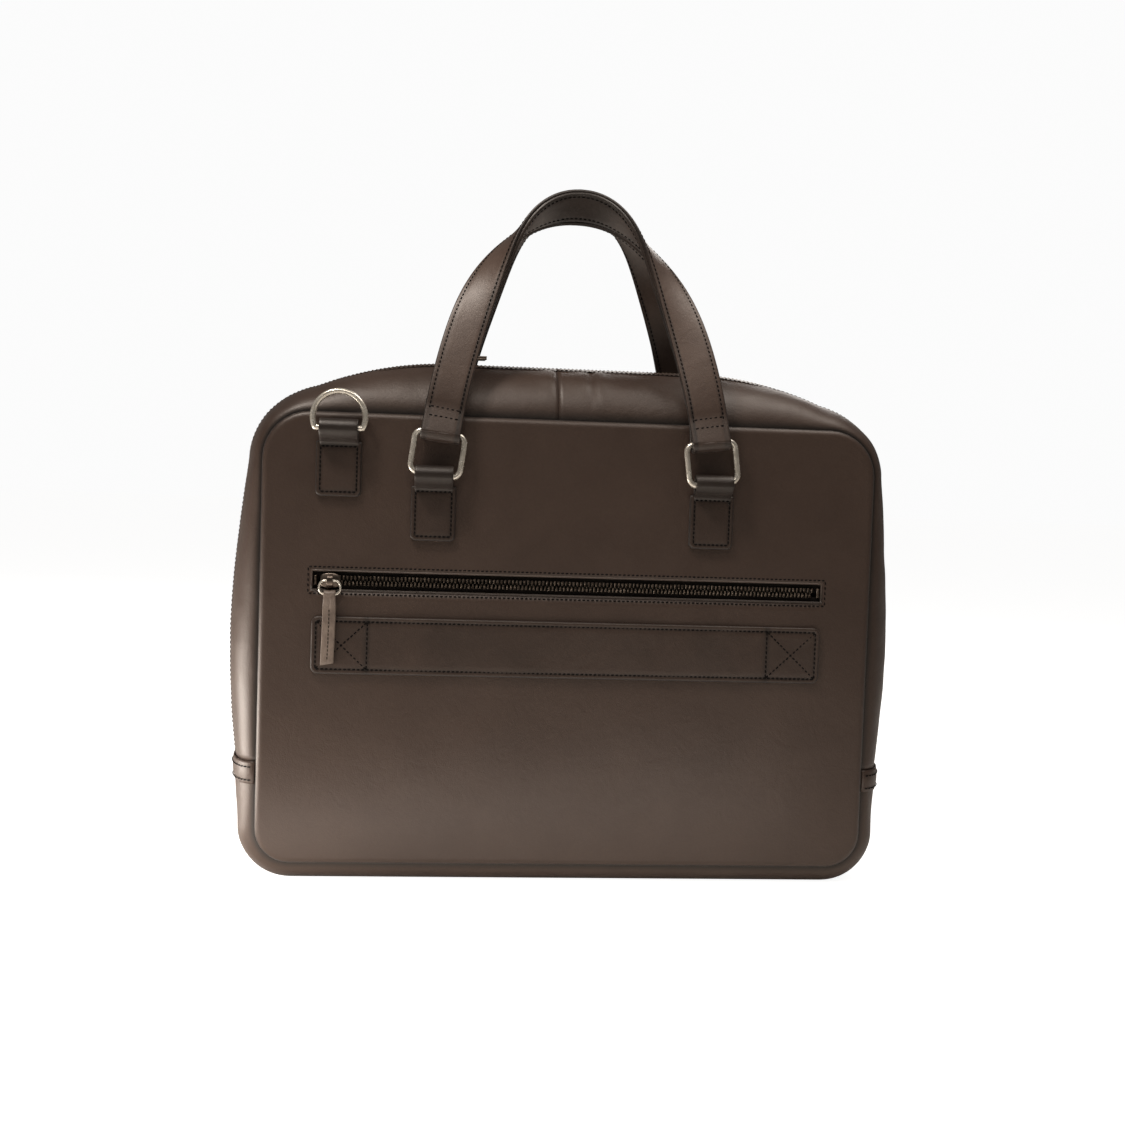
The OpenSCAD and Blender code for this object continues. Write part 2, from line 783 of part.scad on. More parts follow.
mirror([0, 1, 0]) chape(-handle_x, handle_patch_z, handle_loop_z);  // front_handle_chape_left
mirror([0, 1, 0]) chape(handle_x, handle_patch_z, handle_loop_z);  // front_handle_chape_right
mirror([0, 1, 0]) chape(d_ring_x, d_patch_z, d_loop_z);  // front_d_ring_chape
handle_ring_left();  // rear_handle_ring_left
mirror([1, 0, 0]) handle_ring_left();  // rear_handle_ring_right
handle_strap();  // rear_handle_strap
handle_backing();  // rear_handle_backing
d_ring(-d_ring_x);  // rear_d_ring
mirror([0, 1, 0]) handle_ring_left();  // front_handle_ring_left
mirror([0, 1, 0]) mirror([1, 0, 0]) handle_ring_left();  // front_handle_ring_right
mirror([0, 1, 0]) handle_strap();  // front_handle_strap
mirror([0, 1, 0]) handle_backing();  // front_handle_backing
mirror([0, 1, 0]) d_ring(d_ring_x);  // front_d_ring
pocket_slider();
pocket_pull_ring();
pocket_pull_leather();
main_slider();
main_pull_ring();
main_pull_leather();
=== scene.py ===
import json
import math

import bmesh
import bpy
import numpy as np
from mathutils import Matrix, Vector, noise

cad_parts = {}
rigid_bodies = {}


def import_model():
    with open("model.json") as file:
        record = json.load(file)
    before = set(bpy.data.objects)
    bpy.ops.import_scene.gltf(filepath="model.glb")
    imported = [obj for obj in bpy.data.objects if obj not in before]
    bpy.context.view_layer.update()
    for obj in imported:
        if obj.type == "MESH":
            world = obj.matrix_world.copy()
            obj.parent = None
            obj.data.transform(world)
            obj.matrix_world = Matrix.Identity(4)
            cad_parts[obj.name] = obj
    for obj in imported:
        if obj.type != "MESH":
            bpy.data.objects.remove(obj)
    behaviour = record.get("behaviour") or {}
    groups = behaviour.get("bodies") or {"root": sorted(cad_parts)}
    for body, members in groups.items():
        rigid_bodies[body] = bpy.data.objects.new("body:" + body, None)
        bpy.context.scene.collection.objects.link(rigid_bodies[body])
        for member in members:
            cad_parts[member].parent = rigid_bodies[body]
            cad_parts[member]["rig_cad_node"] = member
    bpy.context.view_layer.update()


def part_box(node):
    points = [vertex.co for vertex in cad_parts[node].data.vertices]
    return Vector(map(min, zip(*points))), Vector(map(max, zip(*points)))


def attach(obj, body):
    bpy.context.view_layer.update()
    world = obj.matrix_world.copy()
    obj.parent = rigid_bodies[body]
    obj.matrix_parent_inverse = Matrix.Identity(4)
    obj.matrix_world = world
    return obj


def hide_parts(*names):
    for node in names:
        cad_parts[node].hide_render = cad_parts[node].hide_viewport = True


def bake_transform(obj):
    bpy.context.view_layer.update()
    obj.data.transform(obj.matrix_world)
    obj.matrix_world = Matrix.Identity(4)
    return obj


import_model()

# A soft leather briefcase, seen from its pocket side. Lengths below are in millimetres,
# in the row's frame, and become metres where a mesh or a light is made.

MM = 0.001


def corners_mm(node):
    low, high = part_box(node)
    return np.array(low) / MM, np.array(high) / MM


# ---------------------------------------------------------------- dimensions

PANEL_LOW, PANEL_HIGH = corners_mm("rear_panel")
HALF_W = PANEL_HIGH[0]
SEAM_Z = PANEL_LOW[2]
TOP_Z = PANEL_HIGH[2]
OUTER_Y = -PANEL_LOW[1]
LEATHER = PANEL_HIGH[1] - PANEL_LOW[1]
INNER_Y = OUTER_Y - LEATHER
TOP_R = 30.0
LOW_R = 22.0
TOP_CENTRE_Z = TOP_Z - TOP_R
LOW_CENTRE_Z = SEAM_Z + LOW_R
CREST_Z = corners_mm("rear_gusset_left")[1][2]
CREST_TOP = CREST_Z - TOP_Z
CREST_SIDE = 22.0
CREST_FLAT = 80.0
FALL_SPAN = 98.0
ZIP_END_Z = corners_mm("bottom_gusset")[1][2]
ZIP_START_Z = ZIP_END_Z + 0.6
ZIP_GAP = 5.5
SEAM_X = -11.0


# ---------------------------------------------------------------- mesh helpers

def smooth_step(u):
    u = np.clip(u, 0, 1)
    return u * u * (3 - 2 * u)


def bell(distance, width):
    return math.exp(-(distance / width) ** 2)


def edge_fall(margin, reach):
    """Fall of a rounded edge: 1 at the edge itself, 0 from its reach inwards."""
    return 1 - math.sqrt(max(0.0, 1 - (1 - min(1.0, margin / reach)) ** 2))


def unit(v):
    v = np.asarray(v, float)
    return v / np.linalg.norm(v)


def lump(p, size, strength):
    """A soft lump of noise at a point, in millimetres."""
    return strength * noise.noise(Vector(p) / size)


def add_mesh(name, verts, faces, material, body, stands_for=(), sharp=None, merge=None,
             tone=None):
    """A mesh object from points in millimetres, with outward faces.

    tone is 0 to 1 at each point: how far the leather darkens there, mostly painted shade in
    creases, seam grooves and stitch rows, and dark edge paint along edges.
    """
    mesh = bpy.data.meshes.new(name)
    mesh.from_pydata([tuple(float(c) * MM for c in v) for v in verts], [], faces)
    work = bmesh.new()
    work.from_mesh(mesh)
    if merge:
        bmesh.ops.remove_doubles(work, verts=work.verts, dist=merge * MM)
    bmesh.ops.recalc_face_normals(work, faces=work.faces)
    work.to_mesh(mesh)
    work.free()
    for polygon in mesh.polygons:
        polygon.use_smooth = True
    if sharp:
        mesh.set_sharp_from_angle(angle=math.radians(sharp))
    if tone is not None:
        layer = mesh.attributes.new("tone", "FLOAT", "POINT")
        layer.data.foreach_set("value", [float(t) for t in tone])
    mesh.materials.append(material)
    obj = bpy.data.objects.new(name, mesh)
    bpy.context.scene.collection.objects.link(obj)
    if body == "fold":
        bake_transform(obj)
    else:
        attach(obj, body)
    if stands_for:
        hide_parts(*stands_for)
    return obj


def loft(rings, wrap=False):
    """Joins closed rings of points into a tube, capped or joined to itself."""
    count = len(rings[0])
    verts = [p for ring in rings for p in ring]
    faces = []
    for k in range(len(rings) if wrap else len(rings) - 1):
        low, high = k * count, (k + 1) % len(rings) * count
        for j in range(count):
            i = (j + 1) % count
            faces.append((low + j, low + i, high + i, high + j))
    if not wrap:
        faces.append(tuple(range(count)))
        faces.append(tuple((len(rings) - 1) * count + j for j in range(count)))
    return verts, faces


def join(parts):
    """Several (verts, faces) as one."""
    verts, faces = [], []
    for part_verts, part_faces in parts:
        base = len(verts)
        verts.extend(part_verts)
        faces.extend(tuple(i + base for i in f) for f in part_faces)
    return verts, faces


def mirror_y(verts):
    return [np.array([v[0], -v[1], v[2]]) for v in verts]


def mirror_x(verts):
    return [np.array([-v[0], v[1], v[2]]) for v in verts]


def same(verts):
    return verts


# The two ends of the bag: name, the side of its D-ring, the body of its upper skin, and how
# the points drawn for the rear get there
ENDS = (("rear", -1, "rear_half", same), ("front", 1, "fold", mirror_y))


def resample(points, step):
    """Evenly spaced points along a polyline, with the direction at each."""
    points = np.asarray(points, float)
    lengths = np.linalg.norm(np.diff(points, axis=0), axis=1)
    along = np.concatenate([[0], np.cumsum(lengths)])
    count = max(1, int(along[-1] / step))
    where = (np.arange(count) + 0.5) * along[-1] / count
    out = np.stack([np.interp(where, along, points[:, k]) for k in range(3)], axis=1)
    index = np.clip(np.searchsorted(along, where) - 1, 0, len(lengths) - 1)
    tangents = (points[index + 1] - points[index]) / lengths[index][:, None]
    return out, tangents, where / along[-1]


# ---------------------------------------------------------------- materials

def new_material(name):
    material = bpy.data.materials.new(name)
    material.use_nodes = True
    nodes = material.node_tree.nodes
    shader = nodes["Principled BSDF"]
    return material, nodes, material.node_tree.links, shader


def node(nodes, kind, **values):
    made = nodes.new(kind)
    for key, value in values.items():
        if hasattr(made, key) and not key.startswith("in_"):
            setattr(made, key, value)
        else:
            made.inputs[key.replace("in_", "").replace("_", " ")].default_value = value
    return made


def ramp(nodes, stops):
    made = nodes.new("ShaderNodeValToRGB")
    elements = made.color_ramp.elements
    while len(elements) < len(stops):
        elements.new(0.5)
    for element, (position, colour) in zip(elements, stops):
        element.position = position
        element.color = (*colour, 1)
    return made


def leather(name, dark, light, rough=0.46, grain=0.55, coat=0.35, mottle=14.0):
    """Smooth-grain leather: clouded colour, fine pores and creases, satin finish."""
    material, nodes, links, shader = new_material(name)
    place = nodes.new("ShaderNodeTexCoord")
    cloud = node(nodes, "ShaderNodeTexNoise", in_Scale=mottle, in_Detail=6.0,
                 in_Roughness=0.55, in_Distortion=0.3)
    colour = ramp(nodes, [(0.30, dark), (0.72, light)])
    pores = node(nodes, "ShaderNodeTexVoronoi", in_Scale=1500.0)
    pebble = node(nodes, "ShaderNodeTexNoise", in_Scale=620.0, in_Detail=3.0)
    crease = node(nodes, "ShaderNodeTexNoise", in_Scale=70.0, in_Detail=5.0,
                  in_Distortion=1.2)
    for texture in (cloud, pores, pebble, crease):
        links.new(place.outputs["Object"], texture.inputs["Vector"])
    links.new(cloud.outputs["Fac"], colour.inputs["Fac"])
    tint = node(nodes, "ShaderNodeMixRGB", blend_type="MULTIPLY")
    tint.inputs["Fac"].default_value = 0.5
    tint_ramp = ramp(nodes, [(0.25, (0.72, 0.70, 0.68)), (0.75, (1.0, 1.0, 1.0))])
    links.new(pebble.outputs["Fac"], tint_ramp.inputs["Fac"])
    links.new(colour.outputs["Color"], tint.inputs["Color1"])
    links.new(tint_ramp.outputs["Color"], tint.inputs["Color2"])
    # The tone attribute darkens the colour towards a near-black: painted shade laid on by each
    # mesh, and dark edge paint.
    tone = nodes.new("ShaderNodeAttribute")
    tone.attribute_name = "tone"
    shade = node(nodes, "ShaderNodeMixRGB", blend_type="MIX")
    shade.inputs["Color2"].default_value = (*[c * 0.16 for c in dark], 1)
    links.new(tone.outputs["Fac"], shade.inputs["Fac"])
    links.new(tint.outputs["Color"], shade.inputs["Color1"])
    links.new(shade.outputs["Color"], shader.inputs["Base Color"])
    gloss = nodes.new("ShaderNodeMapRange")
    gloss.inputs["To Min"].default_value = rough - 0.07
    gloss.inputs["To Max"].default_value = rough + 0.10
    links.new(crease.outputs["Fac"], gloss.inputs["Value"])
    links.new(gloss.outputs["Result"], shader.inputs["Roughness"])
    fine = node(nodes, "ShaderNodeBump", in_Strength=grain, in_Distance=0.00012)
    links.new(pores.outputs["Distance"], fine.inputs["Height"])
    middle = node(nodes, "ShaderNodeBump", in_Strength=grain * 0.8, in_Distance=0.00025)
    links.new(pebble.outputs["Fac"], middle.inputs["Height"])
    links.new(fine.outputs["Normal"], middle.inputs["Normal"])
    broad = node(nodes, "ShaderNodeBump", in_Strength=0.3, in_Distance=0.0012)
    links.new(crease.outputs["Fac"], broad.inputs["Height"])
    links.new(middle.outputs["Normal"], broad.inputs["Normal"])
    links.new(broad.outputs["Normal"], shader.inputs["Normal"])
    shader.inputs["Specular IOR Level"].default_value = 0.40
    shader.inputs["Specular Tint"].default_value = (1.0, 0.93, 0.87, 1)
    shader.inputs["Sheen Weight"].default_value = 0.05
    shader.inputs["Sheen Roughness"].default_value = 0.5
    shader.inputs["Coat Weight"].default_value = coat
    shader.inputs["Coat Roughness"].default_value = 0.42
    shader.inputs["Coat Tint"].default_value = (1.0, 0.93, 0.86, 1)
    return material


def metal(name, base, tarnish, rough, scale=260.0, metallic=1.0):
    """Plated or antiqued metal with fine scuffs."""
    material, nodes, links, shader = new_material(name)
    place = nodes.new("ShaderNodeTexCoord")
    scuff = node(nodes, "ShaderNodeTexNoise", in_Scale=scale, in_Detail=6.0)
    colour = ramp(nodes, [(0.35, tarnish), (0.65, base)])
    gloss = nodes.new("ShaderNodeMapRange")
    gloss.inputs["To Min"].default_value = rough - 0.06
    gloss.inputs["To Max"].default_value = rough + 0.10
    bump = node(nodes, "ShaderNodeBump", in_Strength=0.12, in_Distance=0.00008)
    links.new(place.outputs["Object"], scuff.inputs["Vector"])
    links.new(scuff.outputs["Fac"], colour.inputs["Fac"])
    links.new(scuff.outputs["Fac"], gloss.inputs["Value"])
    links.new(scuff.outputs["Fac"], bump.inputs["Height"])
    links.new(colour.outputs["Color"], shader.inputs["Base Color"])
    links.new(gloss.outputs["Result"], shader.inputs["Roughness"])
    links.new(bump.outputs["Normal"], shader.inputs["Normal"])
    shader.inputs["Metallic"].default_value = metallic
    return material


def cloth(name, dark, light, thread=2400.0, rough=0.85, sheen=0.2, specular=0.3):
    """Woven cloth: two crossing bands of thread."""
    material, nodes, links, shader = new_material(name)
    place = nodes.new("ShaderNodeTexCoord")
    bands = []
    for direction in ("X", "Z"):
        wave = node(nodes, "ShaderNodeTexWave", in_Scale=thread / 6.28, in_Distortion=0.4)
        wave.bands_direction = direction
        links.new(place.outputs["Object"], wave.inputs["Vector"])
        bands.append(wave)
    weave = nodes.new("ShaderNodeMath")
    weave.operation = "MULTIPLY"
    links.new(bands[0].outputs["Fac"], weave.inputs[0])
    links.new(bands[1].outputs["Fac"], weave.inputs[1])
    cloud = node(nodes, "ShaderNodeTexNoise", in_Scale=40.0, in_Detail=4.0)
    links.new(place.outputs["Object"], cloud.inputs["Vector"])
    colour = ramp(nodes, [(0.2, dark), (0.8, light)])
    links.new(cloud.outputs["Fac"], colour.inputs["Fac"])
    links.new(colour.outputs["Color"], shader.inputs["Base Color"])
    bump = node(nodes, "ShaderNodeBump", in_Strength=0.5, in_Distance=0.0003)
    links.new(weave.outputs["Value"], bump.inputs["Height"])
    links.new(bump.outputs["Normal"], shader.inputs["Normal"])
    shader.inputs["Roughness"].default_value = rough
    shader.inputs["Sheen Weight"].default_value = sheen
    shader.inputs["Specular IOR Level"].default_value = specular
    return material


BODY_LEATHER = leather("body_leather", (0.041, 0.0235, 0.0165), (0.057, 0.035, 0.0255))
TRIM_LEATHER = leather("trim_leather", (0.033, 0.0195, 0.0138), (0.049, 0.030, 0.022),
                       rough=0.42, mottle=30.0)
# The handle leather is a paler copy of the trim leather: a painted highlight on the handle legs.
HANDLE_LEATHER = leather("handle_leather", (0.068, 0.041, 0.030), (0.098, 0.063, 0.048),
                         rough=0.42, mottle=30.0, coat=0.45)
LIP_LEATHER = leather("lip_leather", (0.058, 0.038, 0.029), (0.082, 0.057, 0.044),
                      rough=0.4, mottle=60.0)
PULLER_LEATHER = leather("puller_leather", (0.135, 0.102, 0.083), (0.24, 0.19, 0.157),
                         rough=0.5, mottle=120.0, grain=0.6)
THREAD = cloth("thread", (0.0035, 0.0027, 0.0022), (0.008, 0.006, 0.005), thread=9000.0,
               rough=0.8, sheen=0.0, specular=0.12)
PULLER_THREAD = cloth("puller_thread", (0.030, 0.022, 0.018), (0.05, 0.04, 0.03),
                      thread=9000.0, rough=0.7, sheen=0.0, specular=0.15)
TAPE = cloth("zip_tape", (0.007, 0.005, 0.004), (0.013, 0.010, 0.008), thread=6000.0,
             sheen=0.05, specular=0.15)
LINING = cloth("lining", (0.085, 0.075, 0.066), (0.115, 0.102, 0.09), thread=3600.0)
FOAM = cloth("stiffener_foam", (0.05, 0.05, 0.05), (0.08, 0.08, 0.08))
BOARD = cloth("base_board", (0.06, 0.055, 0.05), (0.09, 0.08, 0.07))
BRONZE = metal("zip_bronze", (0.20, 0.158, 0.125), (0.06, 0.047, 0.036), 0.34, 900.0)
SLIDER_METAL = metal("slider_bronze", (0.24, 0.19, 0.155), (0.12, 0.095, 0.078), 0.32)
NICKEL = metal("ring_nickel", (0.88, 0.82, 0.72), (0.74, 0.67, 0.57), 0.24, metallic=0.72)


# ---------------------------------------------------------------- body outline

def top_bulge(x):
    fall = max(0.0, abs(x) - CREST_FLAT) / FALL_SPAN
    return SEAM_Z + (CREST_TOP - SEAM_Z) * (1 - fall ** 2)


def side_bulge(z):
    span = (z - LOW_CENTRE_Z) / (TOP_CENTRE_Z - LOW_CENTRE_Z)
    return SEAM_Z + (CREST_SIDE - SEAM_Z) * math.sin(math.pi * span)


def upper_stations(z_start, x_end, steps=(44, 22, 56)):
    """Stations (x, z, outward x, outward z, bulge) from the left zip end to x_end."""
    made = []
    for z in np.linspace(z_start, TOP_CENTRE_Z, steps[0], endpoint=False):
        made.append((-HALF_W, z, -1.0, 0.0, side_bulge(z)))
    for a in np.linspace(0, math.pi / 2, steps[1], endpoint=False):
        share = a / (math.pi / 2)
        bulge = SEAM_Z + (top_bulge(HALF_W - TOP_R) - SEAM_Z) * share ** 3
        made.append((-HALF_W + TOP_R - TOP_R * math.cos(a),
                     TOP_CENTRE_Z + TOP_R * math.sin(a), -math.cos(a), math.sin(a), bulge))
    for x in np.linspace(-(HALF_W - TOP_R), x_end, steps[2]):
        made.append((x, TOP_Z, 0.0, 1.0, top_bulge(x)))
    return made


def place_ring(station, profile):
    """Profile points (y, n) at a station, n being outwards from the panel's outline."""
    x, z, out_x, out_z = station[:4]
    return [np.array([x + out_x * n, y, z + out_z * n]) for y, n in profile]


def inset(profile, depth):
    """A profile moved towards the inside of the bag."""
    points = np.asarray(profile, float)
    ahead = np.roll(points, -1, axis=0)
    ahead[-1] = points[-1]
    behind = np.roll(points, 1, axis=0)
    behind[0] = points[0]
    tangent = ahead - behind
    tangent /= np.linalg.norm(tangent, axis=1)[:, None]
    return points + depth * np.stack([tangent[:, 1], -tangent[:, 0]], axis=1)


def skin(profile, near, far):
    """A closed ring between two depths under a profile, with rounded ends."""
    outer, middle, inner = (inset(profile, d) for d in (near, (near + far) / 2, far))
    end_step = unit(outer[-1] - outer[-2]) * (far - near) * 0.45
    return [*outer, middle[-1] + end_step, *inner[::-1], middle[0]]


STRIP_SWEEP = math.radians(72)
SEAM_Y = 38.0


def strip_profile(bulge, steps=18, allowance=6.0):
    made = [(-SEAM_Y, -allowance)]
    for t in np.linspace(0, STRIP_SWEEP, steps):
        y = -SEAM_Y + (SEAM_Y - ZIP_GAP) * (1 - math.cos(t)) / (1 - math.cos(STRIP_SWEEP))
        made.append((y, bulge * math.sin(t) / math.sin(STRIP_SWEEP)))
    return made


def gusset_give(x, z, y):
    """How soft leather departs from the drawn surface: lumps, and a puckered seam."""
    p = (x, y, z)
    give = lump(p, 38.0, 1.3) + lump(p, 15.0, 0.45)
    from_seam = abs(x - SEAM_X)
    if z > TOP_CENTRE_Z:
        give -= 1.7 * bell(from_seam, 2.2)
        give += 0.55 * bell(from_seam - 6, 4.0)
        pull = bell(from_seam, 14.0)
        give += 0.25 * pull * math.sin(y * 0.55 + x * 0.2)
    return give


def seam_tones(count, near_seam=(1.0, 1.0, 0.55, 0.12)):
    """Tones of one skin ring: painted shade where the leather turns in at the seam groove."""
    outer = [near_seam[k] if k < len(near_seam) else 0.0 for k in range(count)]
    return [*outer, 0.0, *outer[::-1], 1.0]


def gusset_strip(x_end, near, far, soft=1.0):
    """The left strip from the zip's end to x_end, between two depths under its surface."""
    rings = []
    for station in upper_stations(ZIP_START_Z, x_end):
        profile = []
        for k, (y, n) in enumerate(strip_profile(station[4])):
            x = station[0] + station[2] * n
            z = station[1] + station[3] * n
            middle = math.sin(math.pi * min(1.0, max(0.0, (k - 1) / 17)))
            profile.append((y, n + soft * middle * gusset_give(x, z, y)))
        rings.append(place_ring(station, skin(profile, near, far)))
    return loft(rings)


def make_gussets():
    left = gusset_strip(SEAM_X, 0, LEATHER)
    right = gusset_strip(-SEAM_X, 0, LEATHER)
    right = (mirror_x(right[0]), right[1])
    for side, (verts, faces) in (("left", left), ("right", right)):
        tones = seam_tones(19) * (len(verts) // 40)
        for end, _, body, to_end in ENDS:
            add_mesh(f"{end}_gusset_{side}_skin", to_end(verts), faces, BODY_LEATHER, body,
                     [f"{end}_gusset_{side}"], tone=tones)


# The band under the base rolls tightly at the floor and widely at its upper ends.
BASE_ROLL = 14.0


def side_roll(z):
    share = min(1.0, max(0.0, (z - LOW_CENTRE_Z) / (ZIP_END_Z - LOW_CENTRE_Z)))
    return BASE_ROLL + (SEAM_Y - 2 - BASE_ROLL) * share


def bottom_profile(bulge, roll, steps=12, allowance=6.0):
    half = [(-SEAM_Y, -allowance)]
    for t in np.linspace(0, math.pi / 2, steps):
        half.append((-SEAM_Y + roll * (1 - math.cos(t)), bulge * math.sin(t)))
    inner = [(y, half[-1][1]) for y in np.linspace(half[-1][0], -half[-1][0], 9)[1:-1]]
    return half + inner + [(-y, n) for y, n in half[::-1]]


def low_stations():
    """Stations as above with the roll's width, from the left zip end round to the right."""
    made = []
    for z in np.linspace(ZIP_END_Z, LOW_CENTRE_Z, 18, endpoint=False):
        made.append((-HALF_W, z, -1.0, 0.0, side_bulge(z), side_roll(z)))
    for a in np.linspace(0, math.pi / 2, 16, endpoint=False):
        made.append((-HALF_W + LOW_R - LOW_R * math.cos(a),
                     LOW_CENTRE_Z - LOW_R * math.sin(a), -math.cos(a), -math.sin(a),
                     SEAM_Z, BASE_ROLL))
    right = [(-s[0], s[1], -s[2], *s[3:]) for s in made[::-1]]
    for x in np.linspace(-(HALF_W - LOW_R), HALF_W - LOW_R, 60):
        made.append((x, SEAM_Z, 0.0, -1.0, SEAM_Z, BASE_ROLL))
    return made + right


def bottom_band(near, far):
    """The band between two depths under its surface."""
    rings = []
    for station in low_stations():
        profile = []
        for y, n in bottom_profile(*station[4:6]):
            x = station[0] + station[2] * n
            z = station[1] + station[3] * n
            on_side = smooth_step((z - 14) / 20)
            profile.append((y, n + on_side * lump((x, y, z), 24.0, 0.9)
                            * min(1.0, max(0.0, n / 4))))
        outer, inner = inset(profile, near), inset(profile, far)
        rings.append(place_ring(station, [*outer, *inner[::-1]]))
    return loft(rings)


def make_bottom():
    band = bottom_band(0, LEATHER)
    count = len(bottom_profile(SEAM_Z, BASE_ROLL))
    # Painted shade at both seam grooves of the band.
    outer = [1.0, 1.0, 0.4] + [0.0] * (count - 6) + [0.4, 1.0, 1.0]
    add_mesh("bottom_gusset_skin", *band, BODY_LEATHER, "rear_half", ["bottom_gusset"],
             tone=(outer + outer) * (len(band[0]) // (2 * count)))
    tab_low = corners_mm("zip_end_tab_left")[0][2]
    for side, flip in (("left", False), ("right", True)):
        stations = [(-HALF_W, z, -1.0, 0.0, side_bulge(z), side_roll(z))
                    for z in np.linspace(ZIP_END_Z + 1.2, tab_low, 12)]
        rings = []
        for k, station in enumerate(stations):
            rise = 1.6 * min(1.0, 0.45 + 0.55 * math.sin(math.pi * (k + 0.3) / 11.6))
            profile = [p for p in bottom_profile(station[4], station[5], 16)
                       if abs(p[0]) <= SEAM_Y and p[1] >= 0]
            outer, inner = inset(profile, -rise), inset(profile, -0.05)
            rings.append(place_ring(station, [*outer, *inner[::-1]]))
        verts, faces = loft(rings)
        verts = [np.array([v[0], np.clip(v[1], -INNER_Y, INNER_Y), v[2]]) for v in verts]
        if flip:
            verts = mirror_x(verts)
        add_mesh(f"zip_end_tab_{side}_skin", verts, faces, BODY_LEATHER, "rear_half",
                 [f"zip_end_tab_{side}"])


# ---------------------------------------------------------------- plates

def rounded_plate(low, high, radii, levels, xs, zs, hole=None):
    """A flat rounded rectangle in X and Z as (points, faces, margins).

    radii are the lower and the upper corner radius. levels are the margins of its border
    rings, and xs and zs the grid lines inside the last of them.
    """
    last = levels[-1]
    arc = 9
    points, margins, faces = [], [], []
    signs = ((-1, -1), (1, -1), (1, 1), (-1, 1))
    turns = (math.pi, 1.5 * math.pi, 0.0, 0.5 * math.pi)
    straight = (xs[1:-1], zs[1:-1], xs[-2:0:-1], zs[-2:0:-1])
    rings = []
    for margin in levels:
        ring = []
        for k, ((sx, sz), turn) in enumerate(zip(signs, turns)):
            r = radii[0 if sz < 0 else 1] * (1 - margin / last)
            cx = (low[0] if sx < 0 else high[0]) - sx * (margin + r)
            cz = (low[1] if sz < 0 else high[1]) - sz * (margin + r)
            for a in np.linspace(turn, turn + math.pi / 2, arc):
                ring.append((cx + r * math.cos(a), cz + r * math.sin(a)))
            for value in straight[k]:
                side = ((value, low[1] + margin), (high[0] - margin, value),
                        (value, high[1] - margin), (low[0] + margin, value))[k]
                ring.append(side)
        rings.append(range(len(points), len(points) + len(ring)))
        points.extend(ring)
        margins.extend([margin] * len(ring))
    for outer, inner in zip(rings, rings[1:]):
        count = len(outer)
        for j in range(count):
            k = (j + 1) % count
            faces.append((outer[j], outer[k], inner[k], inner[j]))
    base = len(points)
    for z in zs:
        for x in xs:
            points.append((x, z))
            margins.append(last)
    for i in range(len(zs) - 1):
        for j in range(len(xs) - 1):
            if hole and (hole[0] < (xs[j] + xs[j + 1]) / 2 < hole[1]
                         and hole[2] < (zs[i] + zs[i + 1]) / 2 < hole[3]):
                continue
            a = base + i * len(xs) + j
            faces.append((a, a + 1, a + 1 + len(xs), a + len(xs)))
    return points, faces, margins


def thick_plate(name, plate, front_y, back_y, material, body, stands_for,
                transform=None, tone=None):
    """Closes a flat plate: front_y(x, z, margin) and back_y(x, z, margin) give its faces."""
    points, faces, margins = plate
    work = bmesh.new()
    layer = [work.verts.new((x, z, m)) for (x, z), m in zip(points, margins)]
    for f in faces:
        if len({points[i] for i in f}) >= 3:
            try:
                work.faces.new([layer[i] for i in f])
            except ValueError:
                pass
    bmesh.ops.remove_doubles(work, verts=work.verts, dist=1e-4)
    bmesh.ops.dissolve_degenerate(work, edges=work.edges, dist=1e-5)
    bmesh.ops.recalc_face_normals(work, faces=work.faces)
    loose = [v for v in work.verts if not v.link_faces]
    bmesh.ops.delete(work, geom=loose, context="VERTS")
    work.verts.index_update()
    count = len(work.verts)
    flat = [tuple(v.co) for v in work.verts]
    verts = [(x, front_y(x, z, m), z) for x, z, m in flat]
    verts += [(x, back_y(x, z, m), z) for x, z, m in flat]
    made = [tuple(v.index for v in f.verts) for f in work.faces]
    made += [tuple(i + count for i in reversed(f)) for f in made[:]]
    for edge in work.edges:
        if len(edge.link_faces) == 1:
            a, b = (v.index for v in edge.verts)
            made.append((a, b, b + count, a + count))
    work.free()
    tones = [tone(x, z, m) for x, z, m in flat] * 2 if tone else None
    if transform:
        verts = transform(verts)
    return add_mesh(name, verts, made, material, body, stands_for, tone=tones)


WINDOW_LOW, WINDOW_HIGH = corners_mm("pocket_window_rim")
RIM_W = 1.8
WINDOW = (WINDOW_LOW[0] + RIM_W, WINDOW_HIGH[0] - RIM_W,
          WINDOW_LOW[2] + RIM_W, WINDOW_HIGH[2] - RIM_W)
PANEL_LEVELS = (0, 0.15, 0.45, 0.9, 1.5, 2.3, 3.2, 4.2, 5.4, 7.5, 10, 14, 19, 25, 31)


def panel_roll(margin):
    """How far the panel's face is behind its flat at this distance from the seam."""
    return 3.4 * edge_fall(margin, 4.0)


# Places where something is sewn flat to the panel: x and z from, x and z to
SEWN_PLACES = [(-104, 216, -72, 262), (72, 216, 104, 262), (-163, 242, -131, 290),
               (131, 242, 163, 290), (-166, 183, 166, 200), (-164, 131, -125, 171),
               (125, 131, 164, 171)]


def panel_pillow(x, z, margin):
    """Slack and filling of the panel, in millimetres outwards."""
    border = smooth_step(margin / 30)
    for x0, z0, x1, z1 in SEWN_PLACES:
        away = math.hypot(max(x0 - x, 0, x - x1), max(z0 - z, 0, z - z1))
        border *= 0.25 + 0.75 * smooth_step(away / 16)
    lower = bell(z - 70, 60) * math.cos(x * math.pi / (2.3 * HALF_W))
    upper = bell(z - 238, 36) * math.cos(x * math.pi / (2 * HALF_W))
    quiet = 1 - 0.75 * bell(z - 205, 45)
    waves = lump((x, 0, z), 75.0, 1.1) + lump((x, 40, z), 32.0, 0.35)
    return border * (1.5 * lower + 0.4 * upper + quiet * waves)


